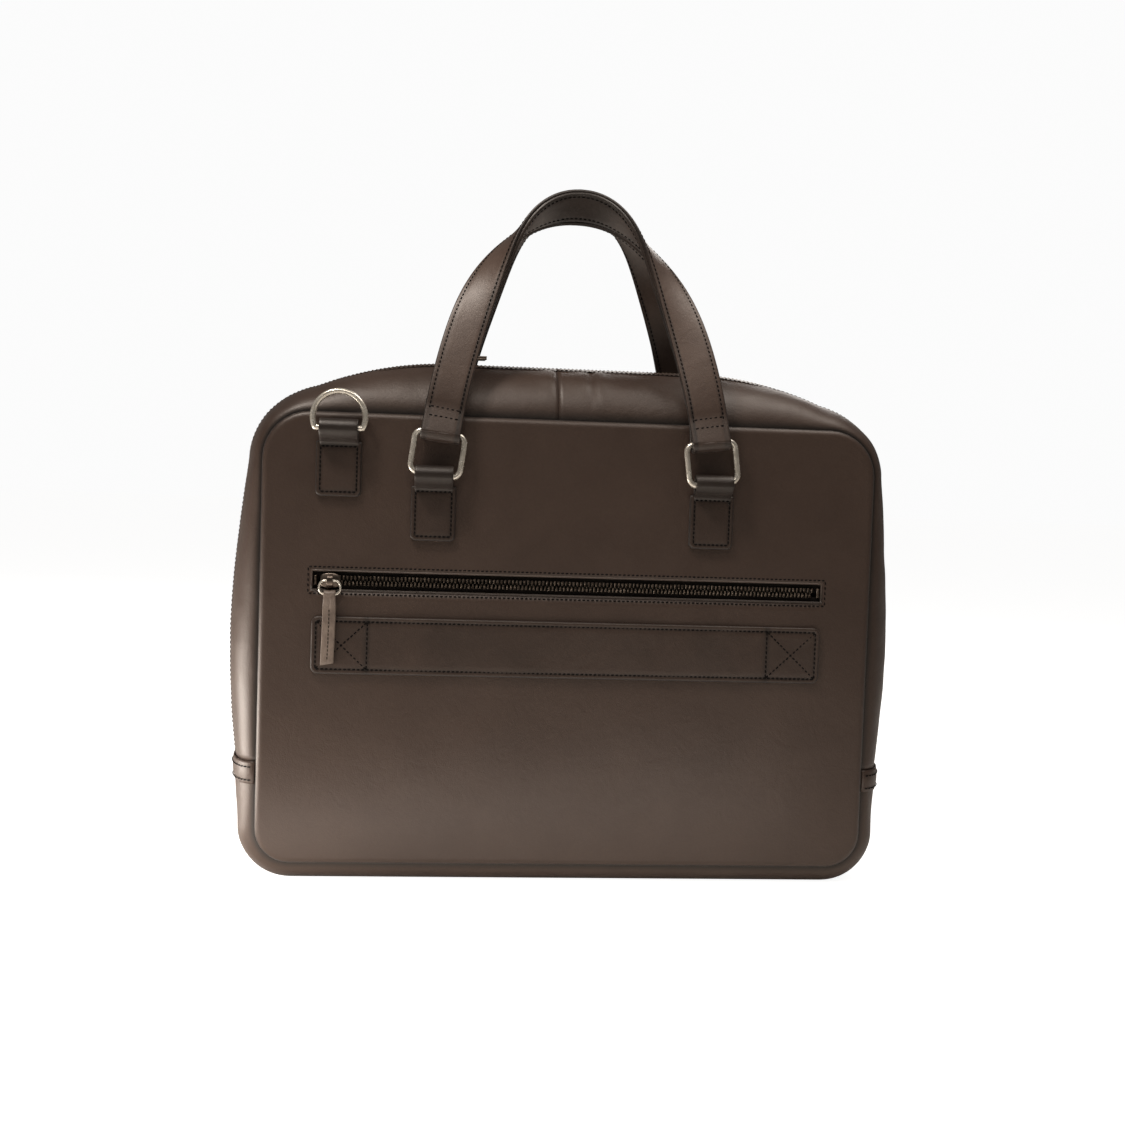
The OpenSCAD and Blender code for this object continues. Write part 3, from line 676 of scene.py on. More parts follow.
def grid_lines(start, end, step, extra=()):
    """Even grid lines with some exact ones among them."""
    even = np.linspace(start, end, max(2, int(round((end - start) / step)) + 1))
    kept = [v for v in even if all(abs(v - e) > step * 0.35 for e in extra)]
    return np.array(sorted([*kept, *extra]))


def make_panels():
    last = PANEL_LEVELS[-1]
    slit = 0.5
    low, high = (-HALF_W + slit, SEAM_Z + slit), (HALF_W - slit, TOP_Z - slit)
    xs = grid_lines(low[0] + last, high[0] - last, 5.0, WINDOW[:2])
    zs = grid_lines(low[1] + last, high[1] - last, 5.0, WINDOW[2:])

    def face(x, z, margin):
        return -OUTER_Y + panel_roll(margin) - 0.55 * panel_pillow(x, z, margin)

    def back(x, z, margin):
        return -INNER_Y + 0.3 + panel_roll(margin) * 0.55

    # Painted shade in the seam groove along the panel's edge.
    def groove(x, z, margin):
        return 0.95 * bell(margin, 0.8)

    plate = rounded_plate(low, high, (LOW_R, TOP_R), PANEL_LEVELS, xs, zs, WINDOW)
    thick_plate("rear_panel_skin", plate, face, back, BODY_LEATHER, "rear_half",
                ["rear_panel"], tone=groove)
    plain = rounded_plate(low, high, (LOW_R, TOP_R), PANEL_LEVELS, xs, zs)
    thick_plate("front_panel_skin", plain, face, back, BODY_LEATHER, "fold",
                ["front_panel_lower", "front_panel_upper"], mirror_y, groove)


# ---------------------------------------------------------------- stitching

def stitch_shape(length, width, height):
    """One thread stitch lying along X, raised along Z."""
    rings = []
    for s, r in ((-0.5, 0.25), (-0.36, 0.8), (0.0, 1.0), (0.36, 0.8), (0.5, 0.25)):
        ring = []
        for k in range(6):
            a = math.tau * k / 6
            dip = -0.55 * height * (abs(s) / 0.5) ** 3
            ring.append(np.array([s * length, r * math.cos(a) * width / 2,
                                  r * math.sin(a) * height / 2 + dip]))
        rings.append(ring)
    return loft(rings)


def copies_along(shape, path, normals, pitch, slant=0.0):
    """Copies of a shape (along, across, outwards) at an even pitch on a path."""
    path, normals = np.asarray(path, float), np.asarray(normals, float)
    if normals.ndim == 1:
        normals = np.tile(normals, (len(path), 1))
    where, tangents, share = resample(path, pitch)
    steps = np.linalg.norm(np.diff(path, axis=0), axis=1)
    along = np.concatenate([[0], np.cumsum(steps)]) / steps.sum()
    outward = np.stack([np.interp(share, along, normals[:, k]) for k in range(3)], axis=1)
    points = np.array(shape[0])
    parts = []
    for p, t, n in zip(where, tangents, outward):
        n = unit(n - t * np.dot(n, t))
        lean = math.cos(slant) * t + math.sin(slant) * np.cross(n, t)
        parts.append((list(p + points @ np.stack([lean, np.cross(n, lean), n])), shape[1]))
    return parts


def stitching(name, runs, body, pitch=3.0, length=2.2, width=0.95, height=0.7,
              material=None, transform=same):
    """Stitches along runs of (points, normals), as one piece."""
    shape = stitch_shape(length, width, height)
    parts = []
    for points, normals in runs:
        parts += copies_along(shape, points, normals, pitch, slant=0.10)
    verts, faces = join(parts)
    return add_mesh(name, transform(verts), faces, material or THREAD, body)


# ---------------------------------------------------------------- ribbons and wires

def curve_through(points, count):
    """A smooth path through points."""
    p = np.asarray(points, float)
    ends = np.vstack([2 * p[0] - p[1], p, 2 * p[-1] - p[-2]])
    made = []
    for u in np.linspace(0, len(p) - 1, count):
        i = min(int(u), len(p) - 2)
        t = u - i
        a, b, c, d = ends[i:i + 4]
        made.append(0.5 * (2 * b + (c - a) * t + (2 * a - 5 * b + 4 * c - d) * t ** 2
                           + (3 * b - a - 3 * c + d) * t ** 3))
    return np.array(made)


def frames_along(path, normals, closed=False):
    """Tangent, outward and across directions at each point of a path."""
    path, normals = np.asarray(path, float), np.asarray(normals, float)
    count = len(path)
    if normals.ndim == 1:
        normals = np.tile(normals, (count, 1))
    made = []
    for k in range(count):
        ahead = path[(k + 1) % count] if closed else path[min(k + 1, count - 1)]
        behind = path[k - 1] if closed else path[max(k - 1, 0)]
        t = unit(ahead - behind)
        n = normals[k]
        n = unit(n - t * np.dot(n, t))
        made.append((t, n, np.cross(n, t)))
    return made


def normals_beside(path, across):
    """Normals along a path that are square to one fixed direction."""
    last = len(path) - 1
    return [np.cross(across, unit(path[min(k + 1, last)] - path[max(k - 1, 0)]))
            for k in range(len(path))]


def sweep(path, normals, section, closed=False):
    """A section of (across, outwards) points carried along a path."""
    rings = [[p + w * a + n * b for a, b in section]
             for p, (_, n, w) in zip(path, frames_along(path, normals, closed))]
    return loft(rings, wrap=closed)


def offset_path(path, normals, across, out):
    """The line that runs beside a path, with the path's own normals."""
    return [p + w * across + n * out
            for p, (_, n, w) in zip(path, frames_along(path, normals))]


def round_section(radius, count=14):
    return [(radius * math.cos(a), radius * math.sin(a))
            for a in np.linspace(0, math.tau, count, endpoint=False)]


def strap_section(width, thick, puff=0.25, stitch=3.0, groove=0.3, edge=0.8):
    """Section of a stitched strap: soft edges, a groove at each stitch row, a full middle."""
    half = width / 2

    def roll(a):
        return min(edge, thick / 2) * edge_fall(half - abs(a), edge)

    rim = [half, half - 0.12 * edge, half - 0.4 * edge, half - edge]
    inner = list(np.linspace(half - edge, stitch - half, 17)[1:])
    across = rim + [a for a in inner if abs(a) <= half - edge] + [-a for a in rim[::-1]]
    across = sorted(set(np.round(across, 4)), reverse=True)
    top = []
    for a in across:
        n = thick / 2 - roll(a) + puff * math.cos(a / half * math.pi / 2) ** 0.5
        n -= groove * bell(abs(a) - half + stitch, 0.8)
        if abs(a) > half - edge * 0.9:
            n = thick / 2 - roll(a)
        top.append((a, n))
    return top + [(a, -thick / 2 + roll(a)) for a in across[::-1] if abs(a) < half - 0.01]


def strap_tones(section, width, stitch):
    """Painted shade under the stitch rows, and dark edge paint along the edges, deepened by
    painted shade.
    """
    half = width / 2
    made = []
    for a, n in section:
        row = bell(abs(a) - half + stitch, 0.6) if n > 0 else 0
        made.append(min(1.0, 0.75 * row + 0.85 * bell(half - abs(a), 0.7)))
    return made


RING_WIRE = 3.6
HANDLE_X = 88.0
HANDLE_LOOP_Z = 259.4
D_RING_X = 147.0
D_LOOP_Z = 286.1
RING_Y = -(OUTER_Y + 6.7)
RING_W, RING_H, RING_CORNER = 31.0, 26.0, 5.0
RING_TILT = math.radians(7.5)


def wire_loop(w, h, corner, steps=8):
    """Rounded rectangle in X and Z that stands on its lower bar."""
    made = []
    for sx, sz, turn in ((1, 1, 0.0), (-1, 1, 0.5), (-1, 0, 1.0), (1, 0, 1.5)):
        cx = sx * (w / 2 - corner)
        cz = h - corner if sz else corner
        for a in np.linspace(turn * math.pi, (turn + 0.5) * math.pi, steps):
            made.append(np.array([cx + corner * math.cos(a), 0, cz + corner * math.sin(a)]))
    filled = []
    for a, b in zip(made, made[1:] + made[:1]):
        cuts = max(1, int(np.linalg.norm(b - a) / 2.5))
        filled.extend(a + (b - a) * k / cuts for k in range(cuts))
    return filled


def make_rings():
    loop = wire_loop(RING_W, RING_H, RING_CORNER)
    section = round_section(RING_WIRE / 2, 18)
    verts, faces = sweep(loop, (0, 1, 0), section, closed=True)
    c, s = math.cos(RING_TILT), math.sin(RING_TILT)
    left = [np.array([x * c + z * s - HANDLE_X, y + RING_Y, -x * s + z * c + HANDLE_LOOP_Z])
            for x, y, z in verts]
    bow_rise, bow_r = 6.5, 16.0
    start = -math.asin(bow_rise / bow_r)
    half = bow_r * math.cos(start)
    bow = [np.array([bow_r * math.cos(a), 0, bow_r * math.sin(a) + bow_rise])
           for a in np.linspace(start, math.pi - start, 64)]
    bar = [np.array([x, 0, 0.0]) for x in np.linspace(3 - half, half - 3, 12)]
    bow += [np.array([1.2 - half, 0, -0.1]), *bar, np.array([half - 1.2, 0, -0.1])]
    d_verts, d_faces = sweep(bow, (0, 1, 0), section, closed=True)
    for end, d_side, _, to_end in ENDS:
        for side, points in (("left", left), ("right", mirror_x(left))):
            add_mesh(f"{end}_handle_ring_{side}_wire", to_end(points), faces, NICKEL,
                     f"{end}_ring_{side}", [f"{end}_handle_ring_{side}"])
        points = [v + np.array([d_side * D_RING_X, RING_Y, D_LOOP_Z]) for v in d_verts]
        add_mesh(f"{end}_d_ring_wire", to_end(points), d_faces, NICKEL,
                 f"{end}_strap_ring", [f"{end}_d_ring"])


# ---------------------------------------------------------------- chapes

PATCH_W, PATCH_H, PATCH_T = 28.0, 34.0, 3.0
STRAP_W = 24.6
LOOP_W = 23.8


def chape_parts(x, patch_z, loop_z):
    """Patch and loop points for a chape on the rear panel, and its stitch runs."""
    half = PATCH_W / 2
    levels = (0, 0.3, 0.7, 1.2, 1.9, 2.6, 3.4, 4.6)
    grid_x = np.linspace(x - half + 4.6, x + half - 4.6, 12)
    grid_z = np.linspace(patch_z + 4.6, patch_z + PATCH_H - 4.6, 14)
    plate = rounded_plate((x - half, patch_z), (x + half, patch_z + PATCH_H),
                          (3.5, 1.0), levels, grid_x, grid_z)

    def face(px, pz, margin):
        roll = 1.1 * edge_fall(margin, 1.3)
        groove = 0.34 * bell(margin - 2.8, 0.75)
        middle = bell(px - x, 9) * bell(pz - patch_z - PATCH_H / 2, 13)
        return (-OUTER_Y - PATCH_T + 0.15 + roll + groove - 0.35 * middle
                + lump((px, 0, pz), 9.0, 0.18))

    def back(px, pz, margin):
        return -OUTER_Y + 0.4

    # Painted shade in the stitch groove; at the edges dark edge paint together with painted
    # shade.
    def tone(px, pz, margin):
        return (0.75 * bell(margin - 2.8, 0.55)
                + 0.9 * bell(margin, 0.9))

    mid_r = 4.75
    path = [(-OUTER_Y - 1.85, loop_z - 13), (-OUTER_Y - 1.95, loop_z - 10.5),
            (-OUTER_Y - 3.2, loop_z - 8.2), (-OUTER_Y - 8.2, loop_z - 5.0)]
    for a in np.linspace(math.radians(205), math.radians(-10), 16):
        path.append((RING_Y + mid_r * math.cos(a), loop_z + mid_r * math.sin(a)))
    path += [(-OUTER_Y - 0.9, loop_z - 5), (-OUTER_Y - 0.8, loop_z - 12)]
    smooth = curve_through([(x, y, z) for y, z in path], 60)
    loop = sweep(smooth, normals_beside(smooth, (1, 0, 0)),
                 strap_section(LOOP_W, 1.6, 0.05, 3.0, 0.0, 0.6))
    m = 2.8
    y = -OUTER_Y - PATCH_T + 0.05
    x0, x1 = x - half + m, x + half - m
    z0, z1 = patch_z + m, patch_z + PATCH_H - m - 0.4
    c = 1.2
    outline = [(x0, y, z1), (x0, y, z0 + c), (x0 + c * 0.3, y, z0 + c * 0.3),
               (x0 + c, y, z0), (x1 - c, y, z0), (x1 - c * 0.3, y, z0 + c * 0.3),
               (x1, y, z0 + c), (x1, y, z1)]
    runs = [(outline, (0, -1.0, 0)), ([(x0, y, z1), (x1, y, z1)], (0, -1.0, 0))]
    return plate, face, back, tone, loop, runs


# From the bar in a chape's loop down to the lower edge of its patch
HANDLE_PATCH_DROP, D_PATCH_DROP = 41.4, 42.1


def make_chapes():
    for end, d_side, _, to_end in ENDS:
        body = f"{end}_half"
        for name, x, loop_z, drop in (
                ("handle_chape_left", -HANDLE_X, HANDLE_LOOP_Z, HANDLE_PATCH_DROP),
                ("handle_chape_right", HANDLE_X, HANDLE_LOOP_Z, HANDLE_PATCH_DROP),
                ("d_ring_chape", d_side * D_RING_X, D_LOOP_Z, D_PATCH_DROP)):
            plate, face, back, tone, loop, runs = chape_parts(x, loop_z - drop, loop_z)
            thick_plate(f"{end}_{name}_patch", plate, face, back, TRIM_LEATHER, body,
                        [f"{end}_{name}"], to_end, tone)
            # The loop is darkened all over: painted shade on the leather folded round the ring.
            add_mesh(f"{end}_{name}_loop", to_end(loop[0]), loop[1], TRIM_LEATHER, body,
                     [f"{end}_{name}"], tone=[0.75] * len(loop[0]))
            stitching(f"{end}_{name}_stitches", runs, body, pitch=2.7, length=2.0,
                      transform=to_end)


# ---------------------------------------------------------------- luggage strap

LUGGAGE_HALF, LUGGAGE_FREE, LUGGAGE_BOW, LUGGAGE_T = 161.7, 127.0, 0.4, 2.2
LUGGAGE_LOW, LUGGAGE_HIGH = 133.2, 169.2


def luggage_gap(x):
    if abs(x) >= LUGGAGE_FREE:
        return 0.0
    return LUGGAGE_BOW * (1 - (x / LUGGAGE_FREE) ** 2) ** 2


def make_luggage_strap():
    levels = (0, 0.3, 0.7, 1.2, 1.9, 2.7, 3.4, 4.6)
    xs = grid_lines(-LUGGAGE_HALF + 4.6, LUGGAGE_HALF - 4.6, 3.0, (-LUGGAGE_FREE, LUGGAGE_FREE))
    zs = np.linspace(LUGGAGE_LOW + 4.6, LUGGAGE_HIGH - 4.6, 12)
    plate = rounded_plate((-LUGGAGE_HALF, LUGGAGE_LOW), (LUGGAGE_HALF, LUGGAGE_HIGH),
                          (4.5, 4.5), levels, xs, zs)

    def face(x, z, margin):
        roll = edge_fall(margin, 1.2)
        groove = 0.3 * bell(margin - 3.0, 0.8)
        groove += 0.25 * bell(abs(x) - LUGGAGE_FREE, 1.0)
        full = 0.25 * smooth_step((LUGGAGE_FREE - abs(x)) / 30)
        return (-OUTER_Y - luggage_gap(x) - LUGGAGE_T + roll + groove - full
                + lump((x, 0, z), 30.0, 0.35))

    def back(x, z, margin):
        return -OUTER_Y - luggage_gap(x) + (0.35 if abs(x) > LUGGAGE_FREE else 0.0)

    # Painted shade in the stitch grooves and where the strap leaves the panel; the edges carry
    # dark edge paint, and the lower edge is darker than the upper one: painted shade below,
    # painted highlight above.
    def tone(x, z, margin):
        across = abs(abs(x) - LUGGAGE_FREE)
        edge = 0.35 if z > (LUGGAGE_LOW + LUGGAGE_HIGH) / 2 else 0.95
        return min(1.0, 0.7 * bell(margin - 3.0, 0.55)
                   + edge * bell(margin, 0.9)
                   + 0.6 * bell(across, 0.7))

    thick_plate("luggage_strap_leather", plate, face, back, TRIM_LEATHER, "rear_half",
                ["luggage_strap"], tone=tone)
    m = 3.0
    x1, z0, z1 = LUGGAGE_HALF - m, LUGGAGE_LOW + m, LUGGAGE_HIGH - m

    def on(x, z):
        return (x, -OUTER_Y - luggage_gap(x) - LUGGAGE_T - 0.05, z)

    line = np.linspace(-x1, x1, 160)
    out = (0, -1.0, 0)
    runs = [([on(x, z1) for x in line], out), ([on(x, z0) for x in line], out)]
    for side in (-1, 1):
        ends = (side * x1, side * LUGGAGE_FREE)
        for x in ends:
            runs.append(([on(x, z0), on(x, z1)], out))
        runs.append(([on(ends[0], z0), on(ends[1], z1)], out))
        runs.append(([on(ends[0], z1), on(ends[1], z0)], out))
    stitching("luggage_strap_stitches", runs, "rear_half", pitch=2.8, length=2.1,
              width=0.95, height=0.6)


# ---------------------------------------------------------------- handles

BAR_X = -HANDLE_X + RING_H * math.sin(RING_TILT)
BAR_Z = HANDLE_LOOP_Z + RING_H * math.cos(RING_TILT)
HANDLE_TOP = 436.0
HANDLE_LEAN = 0.22
HANDLE_CURVE = np.array([(BAR_X, BAR_Z), (BAR_X + 62 * math.sin(RING_TILT),
                                          BAR_Z + 62 * math.cos(RING_TILT)),
                         (-52, HANDLE_TOP), (0, HANDLE_TOP)])


def handle_frame(s):
    """Point, direction and outward normal on the middle line of a handle's half."""
    a, b, c, d = HANDLE_CURVE
    x, z = (1 - s) ** 3 * a + 3 * (1 - s) ** 2 * s * b + 3 * (1 - s) * s * s * c + s ** 3 * d
    dx, dz = (3 * (1 - s) ** 2 * (b - a) + 6 * (1 - s) * s * (c - b)
              + 3 * s * s * (d - c))
    rise = (z - BAR_Z) / (d[1] - BAR_Z)
    t = unit((dx, HANDLE_LEAN * 6 * rise * (1 - rise) * dz, dz))
    out = unit((-t[2], 0, t[0]))
    back = np.cross(t, out)
    turn = math.radians(122) * smooth_step((s - 0.22) / 0.78)
    lean = HANDLE_LEAN * (d[1] - BAR_Z) * smooth_step(rise)
    return (np.array([x, RING_Y + lean, z]), t,
            math.cos(turn) * back + math.sin(turn) * out)


def whole_handle(points, normals, count):
    """Smooths half a handle and adds its mirror image."""
    points, normals = curve_through(points, count), curve_through(normals, count)
    flip = np.array([-1, 1, 1])
    return (np.vstack([points, (points * flip)[-2::-1]]),
            np.vstack([normals, (normals * flip)[-2::-1]]))


def painted_handle_shade(tones, count):
    """Tones of a whole handle: painted shade at the rings and the grip, so the paler legs stand
    as a painted highlight.
    """
    made = []
    for k in range(count):
        along = 1 - abs(2 * k / (count - 1) - 1)
        dark = (0.66 * (1 - smooth_step((along - 0.22) / 0.26))
                + 0.78 * smooth_step((along - 0.70) / 0.18))
        made += [min(1.0, tone + dark) for tone in tones]
    return made


def make_handles():
    p0, t0, n0 = handle_frame(0)
    points = [p0 - n0 * 1.2 + t0 * a for a in (20, 16, 12)]
    normals = [-n0] * 3
    for a in np.radians(np.arange(-205, 26, 25.5)):
        points.append(p0 + 4.4 * (n0 * math.cos(a) + t0 * math.sin(a)))
        normals.append(n0 * math.cos(a) + t0 * math.sin(a))
    run = [handle_frame(s) for s in np.linspace(0.075, 1, 26)]
    outer = whole_handle(points + [p + n * 1.2 for p, _, n in run],
                         normals + [n for _, _, n in run], 210)
    inner_run = [handle_frame(s) for s in np.linspace(0.13, 1, 26)]
    inner = whole_handle([p - n * 1.2 for p, _, n in inner_run],
                         [n for _, _, n in inner_run], 120)
    top = strap_section(STRAP_W, 2.2, 0.3, 2.8, 0.32)
    low = [(a, -n) for a, n in strap_section(STRAP_W, 2.2, 0.15, 2.8, 0.25)]
    plies = (("strap", sweep(*outer, top), len(outer[0])),
             ("backing", sweep(*inner, low), len(inner[0])))
    tones = strap_tones(top, STRAP_W, 2.8)
    seam = [handle_frame(s) for s in np.linspace(0.068, 1, 90)]
    middle = whole_handle([p for p, _, _ in seam], [n for _, _, n in seam], 160)
    row = STRAP_W / 2 - 2.8
    runs = [(offset_path(*middle, side * row, 2.42), middle[1]) for side in (-1, 1)]
    inner_seam = [handle_frame(s) for s in np.linspace(0.14, 1, 80)]
    under = whole_handle([p for p, _, _ in inner_seam], [n for _, _, n in inner_seam], 150)
    runs += [(offset_path(*under, side * row, -2.35), -under[1]) for side in (-1, 1)]
    for s, lift in ((0.050, 3.5), (0.078, 2.5)):
        p, t, n = handle_frame(s)
        w = np.cross(n, t)
        for flip in (1, -1):
            line = [(p + w * a + n * lift) * np.array([flip, 1, 1]) for a in (-row, row)]
            runs.append((line, n * np.array([flip, 1, 1])))
    for end, _, _, to_end in ENDS:
        for ply, (verts, faces), count in plies:
            add_mesh(f"{end}_handle_{ply}_leather", to_end(verts), faces, HANDLE_LEATHER,
                     f"{end}_handle", [f"{end}_handle_{ply}"], tone=painted_handle_shade(tones, count))
        stitching(f"{end}_handle_stitches", runs, f"{end}_handle", pitch=2.9, length=2.2,
                  transform=to_end)


# ---------------------------------------------------------------- pocket

def make_pocket_rim():
    """The turned leather lip round the window, with its stitches."""
    x0, x1, z0, z1 = WINDOW
    # How far each corner line of the lip grows out of the window and lies behind the panel
    profile = ((0.0, 2.4), (-0.05, 0.8), (0.05, -0.2), (0.3, -0.55), (0.65, -0.55),
               (1.0, -0.3), (1.3, 0.1), (1.3, 0.5), (0.7, 1.1))
    rings = []
    for grow, depth in profile:
        ring = []
        y = depth - OUTER_Y
        cs = ((x0 - grow, z0 - grow), (x1 + grow, z0 - grow), (x1 + grow, z1 + grow),
              (x0 - grow, z1 + grow))
        for (ax, az), (bx, bz) in zip(cs, cs[1:] + cs[:1]):
            cuts = 90 if ax != bx else 4
            for k in range(cuts):
                u = k / cuts
                ring.append(np.array([ax + (bx - ax) * u, y, az + (bz - az) * u]))
        rings.append([p + np.array([0, lump((p[0], 0, p[2]), 11.0, 0.12), 0])
                      for p in ring])
    verts, faces = loft(rings, wrap=True)
    tones = [0.7 - 0.6 * smooth_step((p[2] - z0) / (z1 - z0)) for p in verts]
    add_mesh("pocket_window_lip", verts, faces, LIP_LEATHER, "rear_half",
             ["pocket_window_rim"], tone=tones)
    g = RIM_W + 1.0
    y = -OUTER_Y - 0.15
    corners = [(x0 - g, y, z0 - g), (x1 + g, y, z0 - g), (x1 + g, y, z1 + g),
               (x0 - g, y, z1 + g)]
    runs = [([a, b], (0, -1.0, 0)) for a, b in zip(corners, corners[1:] + corners[:1])]
    stitching("pocket_window_stitches", runs, "rear_half", pitch=2.8, length=2.1,
              width=0.95, height=0.6)


def block(low, high, chamfer):
    """A box with chamfered top edges, as (points, faces); Z is outwards."""
    (ax, ay, az), (bx, by, bz) = low, high
    rings = []
    for z, c in ((az, chamfer * 0.5), (az + chamfer, 0), (bz - chamfer, 0), (bz, chamfer)):
        rings.append([np.array(p) for p in ((ax + c, ay + c, z), (bx - c, ay + c, z),
                                            (bx - c, by - c, z), (ax + c, by - c, z))])
    return loft(rings)


def tooth(near, far, low, high, length=1.35):
    """One zip tooth: a clamp on the tape and a narrower head that meets the other row."""
    sign = 1 if far > near else -1
    split = near + sign * 0.95
    head = block((-length * 0.36, min(near, split), low + 0.5),
                 (length * 0.36, max(near, split), high - 0.35), 0.2)
    clamp = block((-length / 2, min(split, far), low), (length / 2, max(split, far), high),
                  0.3)
    return join([head, clamp])


def teeth_row(name, shape, path, normals, pitch, body, stands_for):
    verts, faces = join(copies_along(shape, path, normals, pitch))
    return add_mesh(name, verts, faces, BRONZE, body, stands_for, sharp=35)


POCKET_Z = (WINDOW[2] + WINDOW[3]) / 2
POCKET_HALF = WINDOW[1]
CHAIN_Y = 1.4 - OUTER_Y
TOOTH_PITCH = 2.4
SLIDER_X = -150.5


def make_pocket_zip():
    start, end = -POCKET_HALF + 4.5, POCKET_HALF - 4.5
    for name, sign in (("upper", 1), ("lower", -1)):
        # across = outwards x along is -Z here, so the upper row lies at negative across
        shape = tooth(-sign * 0.25, -sign * 3.0, -1.2, 1.2)
        shift = 0 if sign > 0 else TOOTH_PITCH / 2
        path = [(start + shift, CHAIN_Y, POCKET_Z),
                (end - TOOTH_PITCH / 2 + shift, CHAIN_Y, POCKET_Z)]
        teeth_row(f"pocket_zip_{name}_teeth_row", shape, path, (0, -1, 0), TOOTH_PITCH,
                  "rear_half", [f"pocket_zip_{name}_teeth"])
        xs = np.linspace(-POCKET_HALF, POCKET_HALF, 110)
        rings = []
        for x in xs:
            sag = 0.06 * math.sin(x * 0.21 + sign)
            ring = []
            for dz, dy in ((2.6, 0.4), (4.2, 0.65), (7.4, 0.7), (7.4, 1.2), (4.2, 1.15),
                           (2.6, 1.0)):
                ring.append(np.array([x, CHAIN_Y + dy + sag, POCKET_Z + sign * dz]))
            rings.append(ring)
        add_mesh(f"pocket_zip_{name}_tape_cloth", *loft(rings), TAPE, "rear_half",
                 [f"pocket_zip_{name}_tape"], sharp=50)
    stops = []
    for side in (-1, 1):
        x = side * (POCKET_HALF - 1.6)
        verts, faces = block((-0.9, -3, -1.2), (0.9, 3, 1.2), 0.4)
        stops.append(([np.array([x + v[0], CHAIN_Y - v[2], POCKET_Z + v[1]]) for v in verts],
                      faces))
    add_mesh("pocket_zip_end_stops", *join(stops), BRONZE, "rear_half",
             ["pocket_zip_stops"], sharp=35)


def slider_shape(low, high):
    """Slider lying flat: the zip runs along X, the crown points to +Z."""
    def plate(z0, z1):
        outline = []
        for x, y in ((-6, 2.6), (-5.2, 3.6), (-2.5, 4.4), (0, 4.5), (3, 4.3), (5.2, 3.3),
                     (6, 2.2)):
            outline.append((x, y))
        outline += [(x, -y) for x, y in outline[::-1]]
        rings = []
        for z, k in ((z0, 0.94), (z0 + 0.25, 1.0), (z1 - 0.3, 1.0), (z1, 0.92)):
            rings.append([np.array([x * k, y * k, z]) for x, y in outline])
        return loft(rings)
    post = block((-3.0, -0.4, low - 0.6), (3.0, 0.4, high + 0.6), 0.1)
    return [plate(low - SLIDER_PLATE, low), plate(high, high + SLIDER_PLATE), post]


def crown_shape(base, bore, axis):
    """The bail on a slider: an arch over the bore, which runs along axis."""
    arch = [(-3.3, base - 0.3), (-3.2, base + 1.4), (-2.3, base + bore + 0.9),
            (0, base + bore + 2.0 - 0.5), (2.3, base + bore + 0.9), (3.2, base + 1.4),
            (3.3, base - 0.3)]
    flat = curve_through([(a, 0, z) for a, z in arch], 26)
    section = [(1.9, 0.3), (1.6, 0.62), (-1.6, 0.62), (-1.9, 0.3), (-1.9, -0.3),
               (-1.6, -0.55), (1.6, -0.55), (1.9, -0.3)]
    verts, faces = sweep(flat, normals_beside(flat, (0, -1, 0)), section)
    if axis == "x":
        verts = [np.array([v[1], v[0], v[2]]) for v in verts]
    return verts, faces


def puller_ribbon(length, half_width=4.1):
    """A leather strip folded round a bar on the X axis and stitched to itself below it."""
    left = [(0.62, -length), (0.62, -length * 0.7), (0.6, -length * 0.45), (0.62, -10),
            (0.95, -6.2), (1.75, -2.8)]
    arc = [(2.0 * math.cos(a), 2.0 * math.sin(a)) for a in np.linspace(-0.35, math.pi + 0.35, 12)]
    path = left + arc + [(-y, z) for y, z in left[::-1]]
    smooth = curve_through([(0, y, z) for y, z in path], 110)
    section = strap_section(2 * half_width, 1.1, 0.12, half_width, 0.28, 0.45)
    verts, faces = sweep(smooth, normals_beside(smooth, (-1, 0, 0)), section)
    made = []
    for x, y, z in verts:
        down = min(1.0, max(0.0, -z / length))
        narrow = 1 - 0.12 * bell(z - 1, 6.0)
        slant = 0.9 * (x / half_width) * smooth_step((down - 0.9) / 0.1)
        made.append(np.array([x * narrow - 0.8 * down ** 2, y + lump((x, y, z), 8.0, 0.12),
                              z + slant * 0.8 + 0.8 * smooth_step((down - 0.9) / 0.1)]))
    return made, faces


PULL_RING_W, PULL_RING_L, PULL_WIRE = 13.0, 8.5, 1.4
# Height of the chain's room over the chain's middle in each slider, then the plate over it
# and the height of the ring's bar over that
POCKET_ROOM, MAIN_ROOM = 1.6, 1.5
SLIDER_PLATE, CROWN_BORE = 1.2, 2.4


def hang_puller(name, length, rows, place):
    """The ring and the leather strip of a slider, drawn with the ring's lower bar at Z 0."""
    loop = wire_loop(PULL_RING_W, PULL_RING_L, 3.6)
    wire = sweep(loop, (0, 1, 0), round_section(PULL_WIRE / 2, 10), closed=True)
    add_mesh(f"{name}_pull_ring_wire", place(wire[0]), wire[1], NICKEL,
             f"{name}_puller_ring", [f"{name}_pull_ring"])
    strip = puller_ribbon(length)
    add_mesh(f"{name}_puller_leather", place(strip[0]), strip[1], PULLER_LEATHER,
             f"{name}_puller", [f"{name}_pull_leather"])
    runs = [([(-0.8 * (z / length) ** 2, side * 1.28, z) for z in zs], (0, side, 0))
            for side, zs in rows]
    stitching(f"{name}_puller_stitches", runs, f"{name}_puller", pitch=2.4, length=1.7,
              width=0.65, height=0.5, material=PULLER_THREAD, transform=place)


